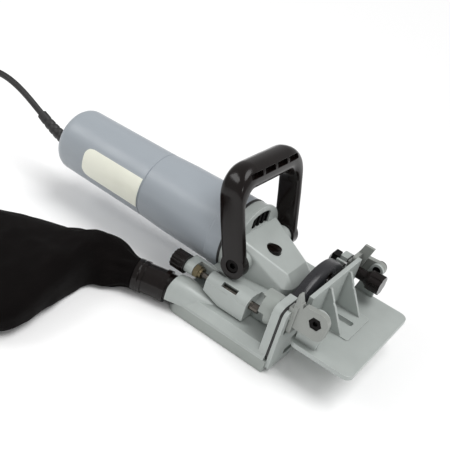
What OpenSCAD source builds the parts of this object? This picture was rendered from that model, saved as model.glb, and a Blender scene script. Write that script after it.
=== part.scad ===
// Biscuit joiner: a motor unit with a sideways saw blade that slides on a base, with a tilting fence.
// The origin is on the sole, on the centreline, at the front edge of the base.
// +X points forwards to the work, +Y to the user's left and +Z up. Sizes are in millimetres.

/* [Base] */
// Width of the base
base_w = 144; // [142:1:152]
// Length of the base
base_l = 108; // [108:1:114]
// Corner radius at the back of the base
base_corner = 12; // [8:1:14]
// Thickness of the bottom cover
cover_t = 12; // [11.5:0.5:12.5]
// Floor of the bottom cover under the blade
cover_floor = 3; // [2:0.25:3.5]
// Thickness of the base casting above the cover
deck_t = 10; // [9:0.25:10]
// Height of the front pillars above the sole
pillar_h = 66; // [64:1:68]
// Thickness of the front pillars
pillar_t = 7.5; // [6:0.5:9]
// Half width of the opening between the pillars
pillar_gap = 43; // [42.5:0.25:44]
// Thickness of the low wall between the pillars
low_wall_t = 3; // [2:0.25:4]

/* [Front face] */
// Thickness of the rubber sheet behind the front plate
pad_t = 2.5; // [1:0.25:3]
// Thickness of the front plate
plate_t = 3.5; // [2.5:0.25:4]
// Height of the slot that the blade comes out of
blade_slot_h = 6; // [5:0.25:7]

/* [Slide] */
// Travel of the plunge
plunge = 15.5; // [12:0.5:16]
// Clearance of the sliding ways
way_clear = 0.15; // [0.1:0.05:0.3]
// Distance of the rails from the centreline
rail_in = 30; // [29:0.5:31]
// Thickness of a rail's web
rail_web = 4; // [3:0.25:5]
// Width of a rail's head
rail_head_w = 9; // [8:0.25:9.5]
// Height of the groove under a rail's head
rail_groove = 6; // [5:0.25:6.5]
// Thickness of a rail's head
rail_head_t = 5; // [4:0.25:5]
// Length of the carriage
carriage_l = 66.5; // [64:0.5:68]

/* [Cutter] */
// Diameter of the blade
blade_d = 100; // [98:0.5:100]
// Thickness of the blade body
blade_t = 3; // [2.5:0.1:3.5]
// Height of the blade above the sole
blade_z = 11; // [10.5:0.25:11.5]
// Teeth of the blade
blade_teeth = 6; // [4:2:12]
// Distance of the parked blade behind the base's front edge
blade_inset = -1; // [-1:0.25:1]
// Radius of the spindle
spindle_r = 6; // [5:0.25:6.5]

/* [Gears] */
// Teeth of the pinion
pinion_n = 10; // [10:1:11]
// Teeth of the large gear
gear_n = 31; // [29:2:33]
// Module of the gears at the outer end
gear_m = 1.3; // [1.2:0.02:1.34]
// Width of the teeth along the cone
gear_face = 7; // [5:0.5:8]

/* [Motor] */
// Height of the motor axis above the sole
motor_z = 62; // [61:0.5:63]
// Radius of the motor housing at its front
motor_r = 36.25; // [35:0.25:36.5]
// Radius of the rear cap at its end
cap_r = 32.6; // [32:0.2:33.4]
// Length of the motor housing
housing_l = 98.5; // [96:0.5:104]
// Length of the rear cap
cap_l = 113; // [108:1:120]
// Radius of the flange at the gear head
flange_r = 37; // [36.75:0.25:37.5]
// Thickness of the gasket at the gear head
gasket_t = 2.5; // [1.5:0.25:3]
// Outer radius of the stator
stator_r = 31; // [30:0.25:31.5]
// Radius of the armature core
armature_r = 19; // [17:0.5:20]

/* [Gear head] */
// Height of the seam between carriage and gear head
head_z = 46; // [45:0.25:46.5]
// Height of the gear head's top face at its front edge
nose_z = 63; // [62:0.5:65]
// Slope of the gear head's top face in degrees
head_slope = 18.5; // [17:0.5:20]
// Half width of the top face at its front edge
nose_w = 19; // [17:0.5:21]

/* [Handle] */
// Distance of the handle's pivot in front of the gear head's rear face
pivot_dx = 21; // [20:0.5:22]
// Height of the handle's pivot against the motor axis
pivot_dz = -1; // [-2:0.5:1]
// Inner half width of the handle at its pivots
handle_in = 39.25; // [39.25:0.25:41]
// How much further apart the handle's legs are at its bar, each side
handle_spread = 5.75; // [4:0.25:7]
// Thickness of the handle's legs
leg_t = 9; // [9:0.5:10]
// Width of the handle's legs
leg_w = 23; // [20:0.5:24]
// Reach from the pivot to the top of the handle
handle_reach = 91; // [86:1:94]
// Depth of the handle's bar
bar_t = 25; // [20:0.5:26]
// Lean of the handle in degrees
handle_lean = 16; // [10:0.5:20]

/* [Depth stop] */
// Side offset of the depth rod
rod_y = 50.5; // [50:0.25:51.5]
// Height of the depth rod
rod_z = 38.5; // [38.5:0.25:39.5]
// Radius of the depth rod
rod_r = 4; // [3.5:0.1:4.25]
// Radius of the depth turret
turret_r = 14.5; // [13:0.25:15]
// Height step from one depth setting to the next
turret_step = 2.8; // [1.5:0.1:2.8]
// Radius of the depth knob
knob_r = 9.25; // [8:0.25:9.25]
// Length of the depth knob
knob_l = 14; // [10:0.5:16]

/* [Fence] */
// Width of the fence plate
fence_w = 124; // [120:1:130]
// Reach of the fence plate in front of the base
fence_reach = 69; // [64:1:76]
// Thickness of the fence plate
fence_t = 4.3; // [3.5:0.1:5]
// Height of the fence plate's underside
fence_z = 34; // [33:0.5:35]
// Distance of the tilt axis in front of the base
tilt_x = 25; // [24.5:0.25:26]
// Height of the tilt axis
tilt_z = 66; // [65.5:0.25:67]
// Thickness of the height slide
slide_t = 4; // [3:0.25:4.5]
// Thickness of an ear
ear_t = 5.5; // [4.5:0.25:5.5]
// Radius of the height lock's grip
lock_r = 9.5; // [8:0.25:9.5]

/* [Dust outlet] */
// Radius of the dust adapter where it sits in the base
adapter_r = 13; // [12:0.1:13]
// Length of the dust adapter outside the base
adapter_l = 38; // [30:1:44]
// Distance of the dust outlet's axis from the side of the base
chute_in = 10; // [9:0.25:11]
// Turn of the dust outlet away from the base in degrees
chute_yaw = 17; // [15:0.5:18]

/* [Hidden] */
$fn = 64;
hull_fn = 32;
eps = 0.01;
fit = 0.05;
gap = 0.3;

// Colours
alloy = "#aab1ad";
alloy_dark = "#9aa19d";
motor_blue = "#a5afb7";
black_plastic = "#1c1a1c";
rubber = "#161616";
steel = "#b8b8b8";
dark_steel = "#55585c";
copper = "#b87333";
brass = "#8f7a45";
carbon = "#2b2b2e";
cloth = "#141416";

// Planes across the tool, from the front backwards
wall_x = -pad_t;
pillar_x = wall_x - pillar_t;
low_wall_x = wall_x - low_wall_t;
stop_gap = 0.5;
carriage_x1 = low_wall_x - stop_gap - plunge;
head_x0 = carriage_x1 - carriage_l;
housing_x1 = head_x0 - gasket_t;
housing_x0 = housing_x1 - housing_l;
cap_x0 = housing_x0 - cap_l;

// Base
low_wall_h = head_z - 0.4;
deck_z = cover_t + deck_t;
chamber_gap = 2.5;
chamber_r = blade_d / 2 + chamber_gap;
chamber_top = cover_t + 4;
spindle_x = -(blade_d / 2 + blade_inset);
front_w = base_w / 2 - 2;
collar_r = 12;
deck_slot_r = collar_r + 1.5;
blade_slot_w = 46;
deck_run = 0.4;

// Rails and claws
rail_groove_z = deck_z + rail_groove;
rail_top = rail_groove_z + rail_head_t;
rail_out = rail_in + rail_head_w;
plate_z0 = rail_top + way_clear;
claw_out = pillar_gap - 0.5;

// Gear pair: both cones meet at the crossing of motor axis and spindle
pinion_r = gear_m * pinion_n / 2;
gear_r = gear_m * gear_n / 2;
cone_l = sqrt(pinion_r * pinion_r + gear_r * gear_r);
pinion_cone = atan(pinion_n / gear_n);
shift = 0.35;
backlash = 0.16;
pressure = 20;
gear_bore = spindle_r;
gear_back_z = head_z + 1;
cavity_r = gear_r + 2;

// Hood over the gear head's nose
guard_r = 62;
guard_top = 79.5;
guard_w = pillar_gap;
guard_low = head_z + 0.6;
guard_z = guard_top - guard_r;
guard_l = 12.3;
guard_t = 2.5;
guard_edge = 6;
guard_front = plate_t - 0.5;

// Gear head
head_step_x = head_x0 + 12;
nose_x = guard_front - guard_t - plunge - 3;
nose_top_x = nose_x - 9.7;
button_x = spindle_x - 3;
button_y = 6;
button_ring = norm([button_x - spindle_x, button_y]);
button_turn = atan2(-button_y, button_x - spindle_x);
button_r = 7;
button_travel = 3.5;
disc_z = motor_z - 4;
disc_t = 3;
disc_hole_r = 2.2;
button_top_z = nose_z + (nose_top_x - button_x) * tan(head_slope) + 2.5;
top_r = 4;

// Handle
pivot_x = head_x0 + pivot_dx;
pivot_z = motor_z + pivot_dz;
handle_bolt_r = 4;

// Depth stop
lug_r = 6.5;
lug_x0 = head_x0 - 20;
lug_x1 = lug_x0 + 9;
boss_r = 8.5;
block_x0 = head_x0 + 6;
block_x1 = head_x0 + 50;
rod_tip_x = pillar_x - plunge - 3.5;
rod_tail_x = lug_x1 + 4;
turret_z = rod_z + 10;
turret_floor = 2.5;
turret_x1 = pillar_x - gap;
sleeve_r = 4.5;
tail_r = 2.5;

// Height slide and fence
slide_x0 = plate_t + gap;
slide_x1 = slide_x0 + slide_t;
near_ear_y = -62;
inner_gap = 0.5;
far_inner_t = 3;
far_ear_y = fence_w / 2 + inner_gap;
lock_y = 49;
lock_z = tilt_z - 5;
stud_r = 3;
key_w = 8;
slide_down = 16;
slide_up = 12;
back_x0 = slide_x1 + 1;
back_x1 = back_x0 + 4;
back_top = tilt_z + 13;
fence_top = fence_z + fence_t;

// Dust outlet
chute_y = base_w / 2 - chute_in;
chute_r = adapter_r + 2.4;
chute_z = chute_r;
adapter_wall = 2;
bore_l = 14;
adapter_out = adapter_r + 1.2;

// Mains lead: straight from the cap, up through the boot, over and down to the surface, then coiled.
// Each step is a distance behind the cap and a share of the height of the exit above the resting lead.
cord_r = 3.5;
cord_z = 12.5;
cord_rest_z = cord_r + 1.7;
cord_exit_z = motor_z - cord_z;
boot_n = 6;
cord_steps = [[-6, 1], [0, 1], [13, 1.018], [26, 1.077], [39, 1.174], [52, 1.296], [65, 1.42],
    [79, 1.542], [94, 1.641], [110, 1.693], [126, 1.675], [142, 1.58], [157, 1.413], [171, 1.187],
    [185, 0.921], [199, 0.655], [214, 0.411], [230, 0.217], [247, 0.086], [265, 0.018], [282, 0],
    [294, 0]];
cord_route = [for (s = cord_steps) [cap_x0 - s[0], 0, cord_rest_z + s[1] * (cord_exit_z - cord_rest_z)]];
coil_layer_turns = 3;
coil_pitch = 7.9;
coil_in_r = 27;
coil_rise = 7.8;
tie_t = 1.2;
coil_z = cord_route[len(cord_route) - 1][2];
coil_turns = 2 * coil_layer_turns;
coil_out_r = coil_in_r + coil_pitch * coil_layer_turns;
coil_lead = 2 * cord_r;
coil_tail = coil_out_r + 3 * cord_r;
coil_c = cord_route[len(cord_route) - 1] - [coil_lead, coil_out_r, 0];
coil_rings = 24;

// A box from three ranges
module box(x, y, z) {
    translate([x[0], y[0], z[0]]) cube([x[1] - x[0], y[1] - y[0], z[1] - z[0]]);
}

// A cylinder along X between two planes
module xcyl(x, r) {
    translate([x[0], 0, 0]) rotate([0, 90, 0]) cylinder(h = x[1] - x[0], r = r);
}

// A cylinder along Y between two planes
module ycyl(y, r) {
    translate([0, y[0], 0]) rotate([-90, 0, 0]) cylinder(h = y[1] - y[0], r = r);
}

// An outline of points (radius, x) revolved around the X axis
module revolve_x(points) {
    rotate([0, 90, 0]) rotate_extrude() polygon(points);
}

// An outline in x and z pushed along Y
module xz_plate(y) {
    translate([0, y[1], 0]) rotate([90, 0, 0]) linear_extrude(y[1] - y[0]) children();
}

// An outline in y and z pushed along X
module yz_plate(x) {
    translate([x[0], 0, 0]) rotate([90, 0, 90]) linear_extrude(x[1] - x[0]) children();
}

module both_sides() {
    children();
    mirror([0, 1, 0]) children();
}

module at_motor() {
    translate([0, 0, motor_z]) children();
}

module at_rod() {
    translate([0, -rod_y, rod_z]) children();
}

module at_turret() {
    translate([0, -rod_y, turret_z]) children();
}

module at_tilt() {
    translate([tilt_x, 0, tilt_z]) children();
}

module at_lock() {
    translate([0, lock_y, lock_z]) children();
}

// The dust outlet's own frame: its -X axis points out of the base
module at_chute() {
    translate([-base_l, -chute_y, chute_z]) rotate([0, 0, chute_yaw]) children();
}

// A rectangle with true arcs at its corners
module round_rect(low, high, r) {
    translate(low + [r, 0]) square([high[0] - low[0] - 2 * r, high[1] - low[1]]);
    translate(low + [0, r]) square([high[0] - low[0], high[1] - low[1] - 2 * r]);
    for (x = [low[0] + r, high[0] - r], y = [low[1] + r, high[1] - r]) translate([x, y]) circle(r);
}

// The outline of the base, with round corners at the back only
module base_plan(inset = 0) {
    r = base_corner - inset;
    w = base_w / 2 - inset;
    round_rect([-base_l + inset, -w], [-base_corner - inset, w], r);
    translate([-base_l / 2, -w]) square([base_l / 2, 2 * w]);
}

// A slot along X that the parked and the plunged position of a round piece share
module travel_slot(r, z) {
    translate([spindle_x, 0, z[0]]) cylinder(h = z[1] - z[0], r = r);
    translate([spindle_x + plunge, 0, z[0]]) cylinder(h = z[1] - z[0], r = r);
    box([spindle_x, spindle_x + plunge], [-r, r], z);
}

// The chamber that the blade runs and plunges in
module blade_chamber() {
    intersection() {
        travel_slot(chamber_r, [cover_floor, chamber_top]);
        box([-base_l, low_wall_x], [-base_w, base_w], [0, deck_z]);
    }
    blade_exit();
}

module blade_exit() {
    box([low_wall_x - plunge, slide_x0], [-blade_slot_w, blade_slot_w],
        [blade_z - blade_slot_h / 2, blade_z + blade_slot_h / 2]);
}

// The duct from the chamber to the dust adapter
module dust_duct() {
    at_chute() {
        xcyl([-base_l, bore_l], adapter_r + fit);
        translate([bore_l - eps, 0, 0]) rotate([0, 90, 0])
            cylinder(h = 34, r1 = adapter_r - adapter_wall, r2 = 7);
    }
}

// Places of the screws that hold the bottom cover
cover_screw_at = [[-14, base_w / 2 - 9], [-14, 9 - base_w / 2], [-58, base_w / 2 - 8],
    [-58, 8 - base_w / 2], [10 - base_l, base_w / 2 - 12]];
cover_screw_r = 2.5;
screw_head_r = 4.5;
screw_head_t = 3;
screw_sink = 0.8;

module cover_screw_shape(grow) {
    for (p = cover_screw_at) translate([p[0], p[1], screw_sink - grow]) {
        cylinder(h = screw_head_t + grow, r = screw_head_r + grow);
        cylinder(h = deck_z - 4 + 2 * grow, r = cover_screw_r + grow);
    }
}

module base_cover() {
    color(alloy_dark) difference() {
        linear_extrude(cover_t) base_plan();
        blade_chamber();
        dust_duct();
        cover_screw_shape(fit);
        for (p = cover_screw_at) translate([p[0], p[1], -eps]) cylinder(h = 2, r = screw_head_r + fit);
    }
}

module cover_screws() {
    color(steel) difference() {
        cover_screw_shape(0);
        for (p = cover_screw_at) translate([p[0], p[1], 0]) cylinder(h = screw_sink + 1.5, r = 2, $fn = 6);
    }
}

// The bulge over the dust duct: full round at the back, running down into the deck
module chute_dome() {
    hull() {
        at_chute() translate([-4, 0, 0]) rotate([0, 90, 0]) cylinder(h = bore_l + 1, r = chute_r, $fn = 48);
        translate([-64, 10 - chute_y, deck_z - 9]) sphere(r = 9, $fn = hull_fn);
    }
}

// One front pillar, seen from the front, with a round outer top corner
module pillar_outline() {
    round_rect([pillar_gap, cover_t], [front_w, pillar_h], 8);
    translate([pillar_gap, cover_t]) square([front_w - pillar_gap, 20]);
    translate([pillar_gap, cover_t]) square([12, pillar_h - cover_t]);
}

// One rail of the slide, seen from the front
module rail_outline() {
    translate([rail_in, cover_t + 1]) square([rail_web, rail_top - cover_t - 1]);
    translate([rail_in, rail_groove_z]) square([rail_head_w, rail_head_t]);
}

// The slot for the height lock's stud in the left pillar
module stud_slot(x, r) {
    box(x, [lock_y - r, lock_y + r], [lock_z - slide_down, pillar_h + 1]);
    translate([0, lock_y, lock_z - slide_down]) xcyl(x, r);
}

module base_housing() {
    color(alloy) difference() {
        union() {
            intersection() {
                union() {
                    hull() {
                        translate([0, 0, cover_t]) linear_extrude(3) base_plan();
                        translate([0, 0, deck_z - 1]) linear_extrude(1) base_plan(6);
                    }
                    translate([0, 0, cover_t]) linear_extrude(deck_t) intersection() {
                        base_plan(6);
                        translate([-base_l, -base_w]) square([base_l, 2 * base_w]);
                    }
                    chute_dome();
                }
                box([-base_l, wall_x], [-base_w, base_w], [cover_t, 3 * deck_z]);
            }
            both_sides() yz_plate([pillar_x, wall_x]) pillar_outline();
            both_sides() yz_plate([1 - base_l + base_corner / 2, pillar_x]) rail_outline();
            box([low_wall_x, wall_x], [-pillar_gap - 1, pillar_gap + 1], [cover_t, low_wall_h]);
        }
        blade_chamber();
        travel_slot(deck_slot_r, [cover_t, deck_z + eps]);
        dust_duct();
        cover_screw_shape(fit);
        at_turret() xcyl([pillar_x - 1, wall_x - 2], tail_r + fit);
        stud_slot([pillar_x - 1, wall_x + 1], stud_r + gap);
    }
}

// The outline that the rubber sheet and the front plate share
module front_outline(lift) {
    difference() {
        union() {
            round_rect([pillar_gap, lift], [front_w, pillar_h - 1], 6);
            round_rect([-front_w, lift], [-pillar_gap, pillar_h - 1], 6);
            translate([-front_w + 6, lift]) square([2 * front_w - 12, low_wall_h - lift]);
            translate([-pillar_gap - 8, lift]) square([2 * pillar_gap + 16, low_wall_h - lift]);
        }
        translate([-blade_slot_w, blade_z - blade_slot_h / 2]) square([2 * blade_slot_w, blade_slot_h]);
    }
}

module front_pad() {
    color(rubber) difference() {
        yz_plate([wall_x, 0]) front_outline(cover_t);
        stud_slot([wall_x - 1, 1], stud_r + gap);
    }
}

// The vertical grooves in the front plate that guide the height slide
module key_slots() {
    for (y = [lock_y, near_ear_y + ear_t / 2])
        box([-1, plate_t + 1], [y - key_w / 2 - way_clear, y + key_w / 2 + way_clear],
            [lock_z - slide_down - key_w / 2 - 1, pillar_h + 1]);
}

module front_plate() {
    color(alloy) difference() {
        yz_plate([0, plate_t]) front_outline(2);
        key_slots();
    }
}

// The hood's outside, or its inside when a wall is taken off: a shallow arch with a round front edge
module guard_dome(wall) {
    r = guard_r - wall;
    front = guard_front - wall;
    edge = guard_edge - wall;
    arc = [for (a = [0:15:90]) [r - edge + edge * cos(a), front - edge + edge * sin(a)]];
    translate([0, 0, guard_z]) revolve_x(concat([[0, guard_front - guard_l - wall],
        [r, guard_front - guard_l - wall]], arc, [[0, front]]));
}

module nose_guard() {
    color(dark_steel) difference() {
        intersection() {
            guard_dome(0);
            box([-guard_l, plate_t], [-guard_w, guard_w], [guard_low, base_w]);
        }
        intersection() {
            guard_dome(guard_t);
            box([-base_l, plate_t], [guard_t - guard_w, guard_w - guard_t], [0, base_w]);
        }
        translate([0, 0, guard_top - 8.5]) xcyl([-guard_l, plate_t + 1], 5.5);
    }
}

// A tube swept along points, with a radius for each point, round a fixed side direction
function unit(v) = v / norm(v);
function ring(p, t, side, r, n) =
    let (b = unit(side - t * (side * t)), c = cross(t, b))
    [for (k = [0:n - 1]) p + r * (cos(360 * k / n) * b + sin(360 * k / n) * c)];
function along(pts, i) =
    unit(pts[min(i + 1, len(pts) - 1)] - pts[max(i - 1, 0)]);

module tube(pts, radii, side, n) {
    loft([for (i = [0:len(pts) - 1]) ring(pts[i], along(pts, i), side, radii[i], n)]);
}

// A closed skin over rings that all have the same number of points
module loft(rings) {
    n = len(rings[0]);
    last = len(rings) - 1;
    walls = [for (i = [0:last - 1], k = [0:n - 1])
        let (a = i * n + k, b = i * n + (k + 1) % n) each [[a, a + n, b], [b, a + n, b + n]]];
    caps = [for (k = [1:n - 2]) each [[0, k, k + 1], [last * n, last * n + k + 1, last * n + k]]];
    polyhedron([for (r = rings) each r], concat(walls, caps));
}

// A power that keeps its sign: it turns a circle's sine and cosine into a rounder or squarer outline
function bulge(v, power) = sign(v) * pow(abs(v), power);

// Return springs: helices in the carriage's pockets, against the low wall
spring_y = 32.5;
spring_z = head_z - 6.5;
spring_r = 3.6;
spring_wire = 0.5;
spring_curls = 12;
spring_pocket_r = 4.6;
spring_depth = 40;
spring_x0 = carriage_x1 - spring_depth;
spring_len = low_wall_x - spring_x0;
spring_pts = [for (i = [0:8 * spring_curls])
    let (u = i / 8 / spring_curls, a = 360 * spring_curls * u)
    [spring_x0 + spring_wire + (spring_len - 2 * spring_wire) * u, spring_r * cos(a), spring_r * sin(a)]];
echo(least_spring_gap = (spring_len - 2 * spring_wire) / spring_curls - 2 * spring_wire);

module return_springs() {
    color(steel) both_sides() translate([0, spring_y, spring_z])
        tube(spring_pts, [for (p = spring_pts) spring_wire], [1, 0.02, 0.01], 6);
}

module dust_adapter() {
    rib = 1;
    color(black_plastic) at_chute() difference() {
        union() {
            xcyl([-7, bore_l - 1], adapter_r);
            xcyl([-adapter_l, -6.5], adapter_out);
            xcyl([-11, -6.5], adapter_out + rib);
        }
        xcyl([-adapter_l - 1, bore_l], adapter_r - adapter_wall);
    }
}

// The clamp ring at the end of the adapter
ring_l = 9;
ring_r = chute_z - 0.2;

module bag_ring() {
    color(black_plastic) at_chute() difference() {
        xcyl([-adapter_l, -adapter_l + ring_l], ring_r);
        xcyl([-adapter_l - 1, -adapter_l + ring_l + 1], adapter_out + fit);
        translate([-adapter_l + ring_l / 2, 0, 0]) ring_groove();
    }
}

// A shallow groove round the clamp ring
module ring_groove() {
    rotate([0, 90, 0]) rotate_extrude() translate([ring_r + 0.9, 0]) circle(r = 1.4);
}

// The dust bag: a sack that lies on the surface and spreads to the right behind its neck.
// Each section has its far edge along and across, its near edge along and across, and its height,
// as shares of the bag's length, width and height.
bag_neck_r = ring_r - 0.4;
bag_l = 177;
bag_w = 140;
bag_h = 34;
bag_n = 20;
bag_low = 0.3;
bag_sections = [[0.114, 0.12, 0.115, -0.14, 0.95], [0.228, 0.115, 0.205, -0.22, 1.1],
    [0.36, 0.1, 0.25, -0.55, 1.1], [0.507, 0.085, 0.3, -0.86, 1.05], [0.667, 0.05, 0.45, -1, 1],
    [0.823, 0, 0.63, -1.04, 0.9], [0.932, -0.1, 0.8, -1, 0.75], [1, -0.24, 0.936, -0.86, 0.45]];

function neck_section(x) =
    [for (k = [0:bag_n - 1]) let (a = -360 * k / bag_n) [x, bag_neck_r * cos(a), bag_neck_r * sin(a)]];
function bag_section(s) =
    let (far = [-adapter_l - bag_l * s[0], bag_w * s[1]], near = [-adapter_l - bag_l * s[2], bag_w * s[3]])
    [for (k = [0:bag_n - 1])
        let (a = -360 * k / bag_n, across = bulge(cos(a), 0.8), up = bulge(sin(a), sin(a) < 0 ? 0.45 : 0.85),
            p = (far + near) / 2 + (far - near) / 2 * across)
        [p[0], p[1], bag_low - chute_z + bag_h * s[4] / 2 * (1 + up) * (1 + 0.1 * across)]];

module dust_bag() {
    color(cloth) at_chute() loft(concat([neck_section(-adapter_l - gap), neck_section(-adapter_l - 7)],
        [for (s = bag_sections) bag_section(s)]));
}

module turret_screw() {
    color(steel) at_turret() difference() {
        union() {
            xcyl([pillar_x - 8, wall_x - 2], tail_r);
            xcyl([pillar_x - 11, pillar_x - 8], 4.2);
        }
        xcyl([pillar_x - 12, pillar_x - 9], 1.5);
    }
}

// The depth turret: six sectors of rising height on a knurled disc, the lowest in line with the rod
module depth_turret() {
    knurls = 24;
    color(alloy) at_turret() difference() {
        union() {
            xcyl([turret_x1 - turret_floor, turret_x1], turret_r);
            for (i = [1:5]) intersection() {
                xcyl([turret_x1 - turret_floor - turret_step * turret_order[i], turret_x1], turret_r);
                rotate([60 * i - 90, 0, 0]) sector();
            }
            xcyl([pillar_x - 7.8, turret_x1], tail_r + 2);
        }
        xcyl([pillar_x - 20, 0], tail_r + fit);
        xcyl([pillar_x - 40, pillar_x - 7.8], 4.6);
        for (k = [0:knurls - 1]) rotate([360 * k / knurls, 0, 0]) translate([0, turret_r + 0.35, 0])
            xcyl([turret_x1 - 2, turret_x1 + 1], 0.9);
    }
}

// Height of the six sectors in order, with the low ones beside the lowest
turret_order = [0, 1, 3, 5, 4, 2];

// A sixth of a turn round the X axis, centred on +Y
module sector() {
    reach = 2 * turret_r;
    yz_plate([-base_l, base_l]) polygon([[0, 0], [reach, -reach * tan(30)], [reach, reach * tan(30)]]);
}

// The block on the right of the carriage that holds the depth rod
module depth_block() {
    low = deck_z + 2;
    xz_plate([-rod_y - boss_r, -claw_out + 1]) polygon([[block_x0, rod_z - boss_r + 0.5],
        [block_x0 + 18, low], [block_x1, low], [block_x1, rod_z + 2], [block_x0, rod_z + 2]]);
    at_rod() xcyl([block_x0, block_x1], boss_r);
    box([block_x0 + 12, block_x1], [-rod_y, -claw_out + 1], [rod_z, rod_z + boss_r]);
}

// The arm and lug behind the block that carry the depth knob
module depth_lug() {
    at_rod() xcyl([lug_x0, lug_x1], lug_r);
    box([lug_x0, head_x0 + 8], [-rod_y + 7, -rod_y + 11], [rod_z - 3, rod_z + lug_r]);
    box([lug_x0, lug_x1], [-rod_y, -rod_y + 8], [rod_z - 3, rod_z + lug_r]);
}

// One claw of the carriage round its rail, seen from the front
module claw_outline() {
    low = deck_z + deck_run;
    translate([rail_out + way_clear, low]) square([claw_out - rail_out - way_clear, head_z - low]);
    translate([rail_in + rail_web + way_clear, low])
        square([claw_out - rail_in - rail_web - way_clear, rail_groove - way_clear - deck_run]);
}

bearing_r = 15;
bearing_h = 10;
bearing_z = head_z - 16;
head_screw_at = [[-14, 30], [-14, -30], [26, 24], [26, -24]];
head_screw_r = 2.5;

module head_screw_shape(grow) {
    for (p = head_screw_at) translate([spindle_x - 10 + p[0], p[1], plate_z0 + 0.5]) {
        cylinder(h = 3 + grow, r = 4.2 + grow);
        cylinder(h = 19 + grow, r = head_screw_r + grow);
    }
}

module carriage() {
    color(alloy) difference() {
        union() {
            box([head_x0, carriage_x1], [-claw_out, claw_out], [plate_z0, head_z]);
            both_sides() yz_plate([head_x0, carriage_x1]) claw_outline();
            translate([spindle_x, 0, deck_z + deck_run + 0.2])
                cylinder(h = head_z - deck_z - deck_run - 0.2, r = bearing_r + 5);
            intersection() {
                at_motor() xcyl([head_x0, head_x0 + 8], flange_r);
                box([head_x0, head_x0 + 8], [gap - rail_in, rail_in - gap], [deck_z + deck_run, head_z]);
            }
            depth_block();
            depth_lug();
        }
        translate([spindle_x, 0, bearing_z]) cylinder(h = base_l, r = bearing_r + fit);
        translate([spindle_x, 0, 0]) cylinder(h = base_l, r = spindle_r + 2);
        both_sides() translate([0, spring_y, spring_z]) xcyl([spring_x0, 0], spring_pocket_r);
        at_rod() xcyl([block_x0 - 1, block_x1 + 1], rod_r + fit);
        at_rod() xcyl([lug_x0 - 1, lug_x1 + 1], sleeve_r + fit);
        at_rod() rotate([35, 0, 0]) box([block_x0 + 15, block_x0 + 31], [-2.5, 2.5], [0, base_l]);
        at_turret() xcyl([block_x1, 0], turret_r + 0.6);
        translate([0, 0, -0.5]) head_screw_shape(fit);
        head_screw_shape(fit);
    }
}

// A section of the gear head across the tool: sides that lean inwards under a top with round edges
module head_section(x, low_w, top_w, top_z) {
    r = 4;
    translate([x, 0, 0]) rotate([90, 0, 90]) linear_extrude(0.5) hull() {
        translate([-low_w, head_z]) square([2 * low_w, 1]);
        for (s = [-1, 1]) translate([s * (top_w - r), top_z - r]) circle(r, $fn = hull_fn);
    }
}

head_top = function (x) nose_z + (nose_top_x - x) * tan(head_slope);
handle_boss_r = 9.5;

// The outside of the gear head: a tapered, sloping hood in front of a round flange
module head_outside() {
    hull() {
        head_section(head_step_x, 35, 33, head_top(head_step_x));
        head_section(nose_top_x - 0.5, 26, nose_w, nose_z);
        for (y = [-13, 13]) translate([nose_x - 14, y, head_z]) cylinder(h = 6, r = 14, $fn = hull_fn);
    }
    intersection() {
        at_motor() revolve_x([[0, head_x0], [flange_r, head_x0], [flange_r, head_step_x - 3],
            [flange_r + 1.5, head_step_x - 2], [flange_r + 1.5, head_step_x],
            [flange_r - 2, head_step_x + 0.5], [0, head_step_x + 0.5]]);
        box([head_x0, 0], [-base_w, base_w], [head_z, 3 * motor_z]);
    }
    translate([pivot_x, 0, pivot_z]) ycyl([-handle_in + gap, handle_in - gap], handle_boss_r);
}

// The window of the air outlet, in the step above the hood
module outlet_outline(r) {
    intersection() {
        translate([-15 + grille_r - r, head_top(head_step_x) + 1 - motor_z + grille_r - r])
            square([30 - 2 * (grille_r - r), flange_r]);
        circle(r = r);
    }
}

grille_r = flange_r - 3.5;

module gear_head() {
    color(alloy) difference() {
        head_outside();
        translate([spindle_x, 0, head_z - 1]) cylinder(h = motor_z - 1.5 - head_z, r = cavity_r);
        translate([spindle_x, 0, head_z - 1]) cylinder(h = motor_z + 1.5 - head_z, r = button_ring + 5);
        at_motor() xcyl([head_x0 + 7, spindle_x - 0.6 * gear_r], pinion_r + pinion_tip + 1);
        at_motor() xcyl([head_x0 - 1, head_x0 + 8], front_bearing_r + fit);
        translate([0, 0, motor_z]) yz_plate([head_step_x - 8, head_step_x + 2]) outlet_outline(grille_r);
        translate([button_x, -button_y, motor_z - 2]) cylinder(h = 40, r = disc_hole_r);
        translate([button_x, -button_y, button_top_z - 9]) cylinder(h = 40, r = button_r + gap);
        translate([pivot_x, 0, pivot_z]) both_sides() ycyl([handle_in - 13, handle_in], handle_bolt_r + fit);
        head_screw_shape(fit);
    }
}

// The black insert in the air outlet, with its slots
module air_grille() {
    slots = 4;
    color(black_plastic) translate([0, 0, motor_z]) difference() {
        yz_plate([head_step_x - 7.9, head_step_x - 1]) outlet_outline(grille_r - fit);
        for (k = [0:slots - 1]) translate([0, -11 + 22 * k / (slots - 1), 0])
            box([head_step_x - 6, head_step_x + 1], [-1.8, 1.8], [0, grille_r - 2.5]);
    }
}

module flange_gasket() {
    color(rubber) at_motor() difference() {
        xcyl([housing_x1, head_x0], flange_r + 0.4);
        xcyl([housing_x1 - 1, head_x0 + 1], flange_r - 6);
    }
}

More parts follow.
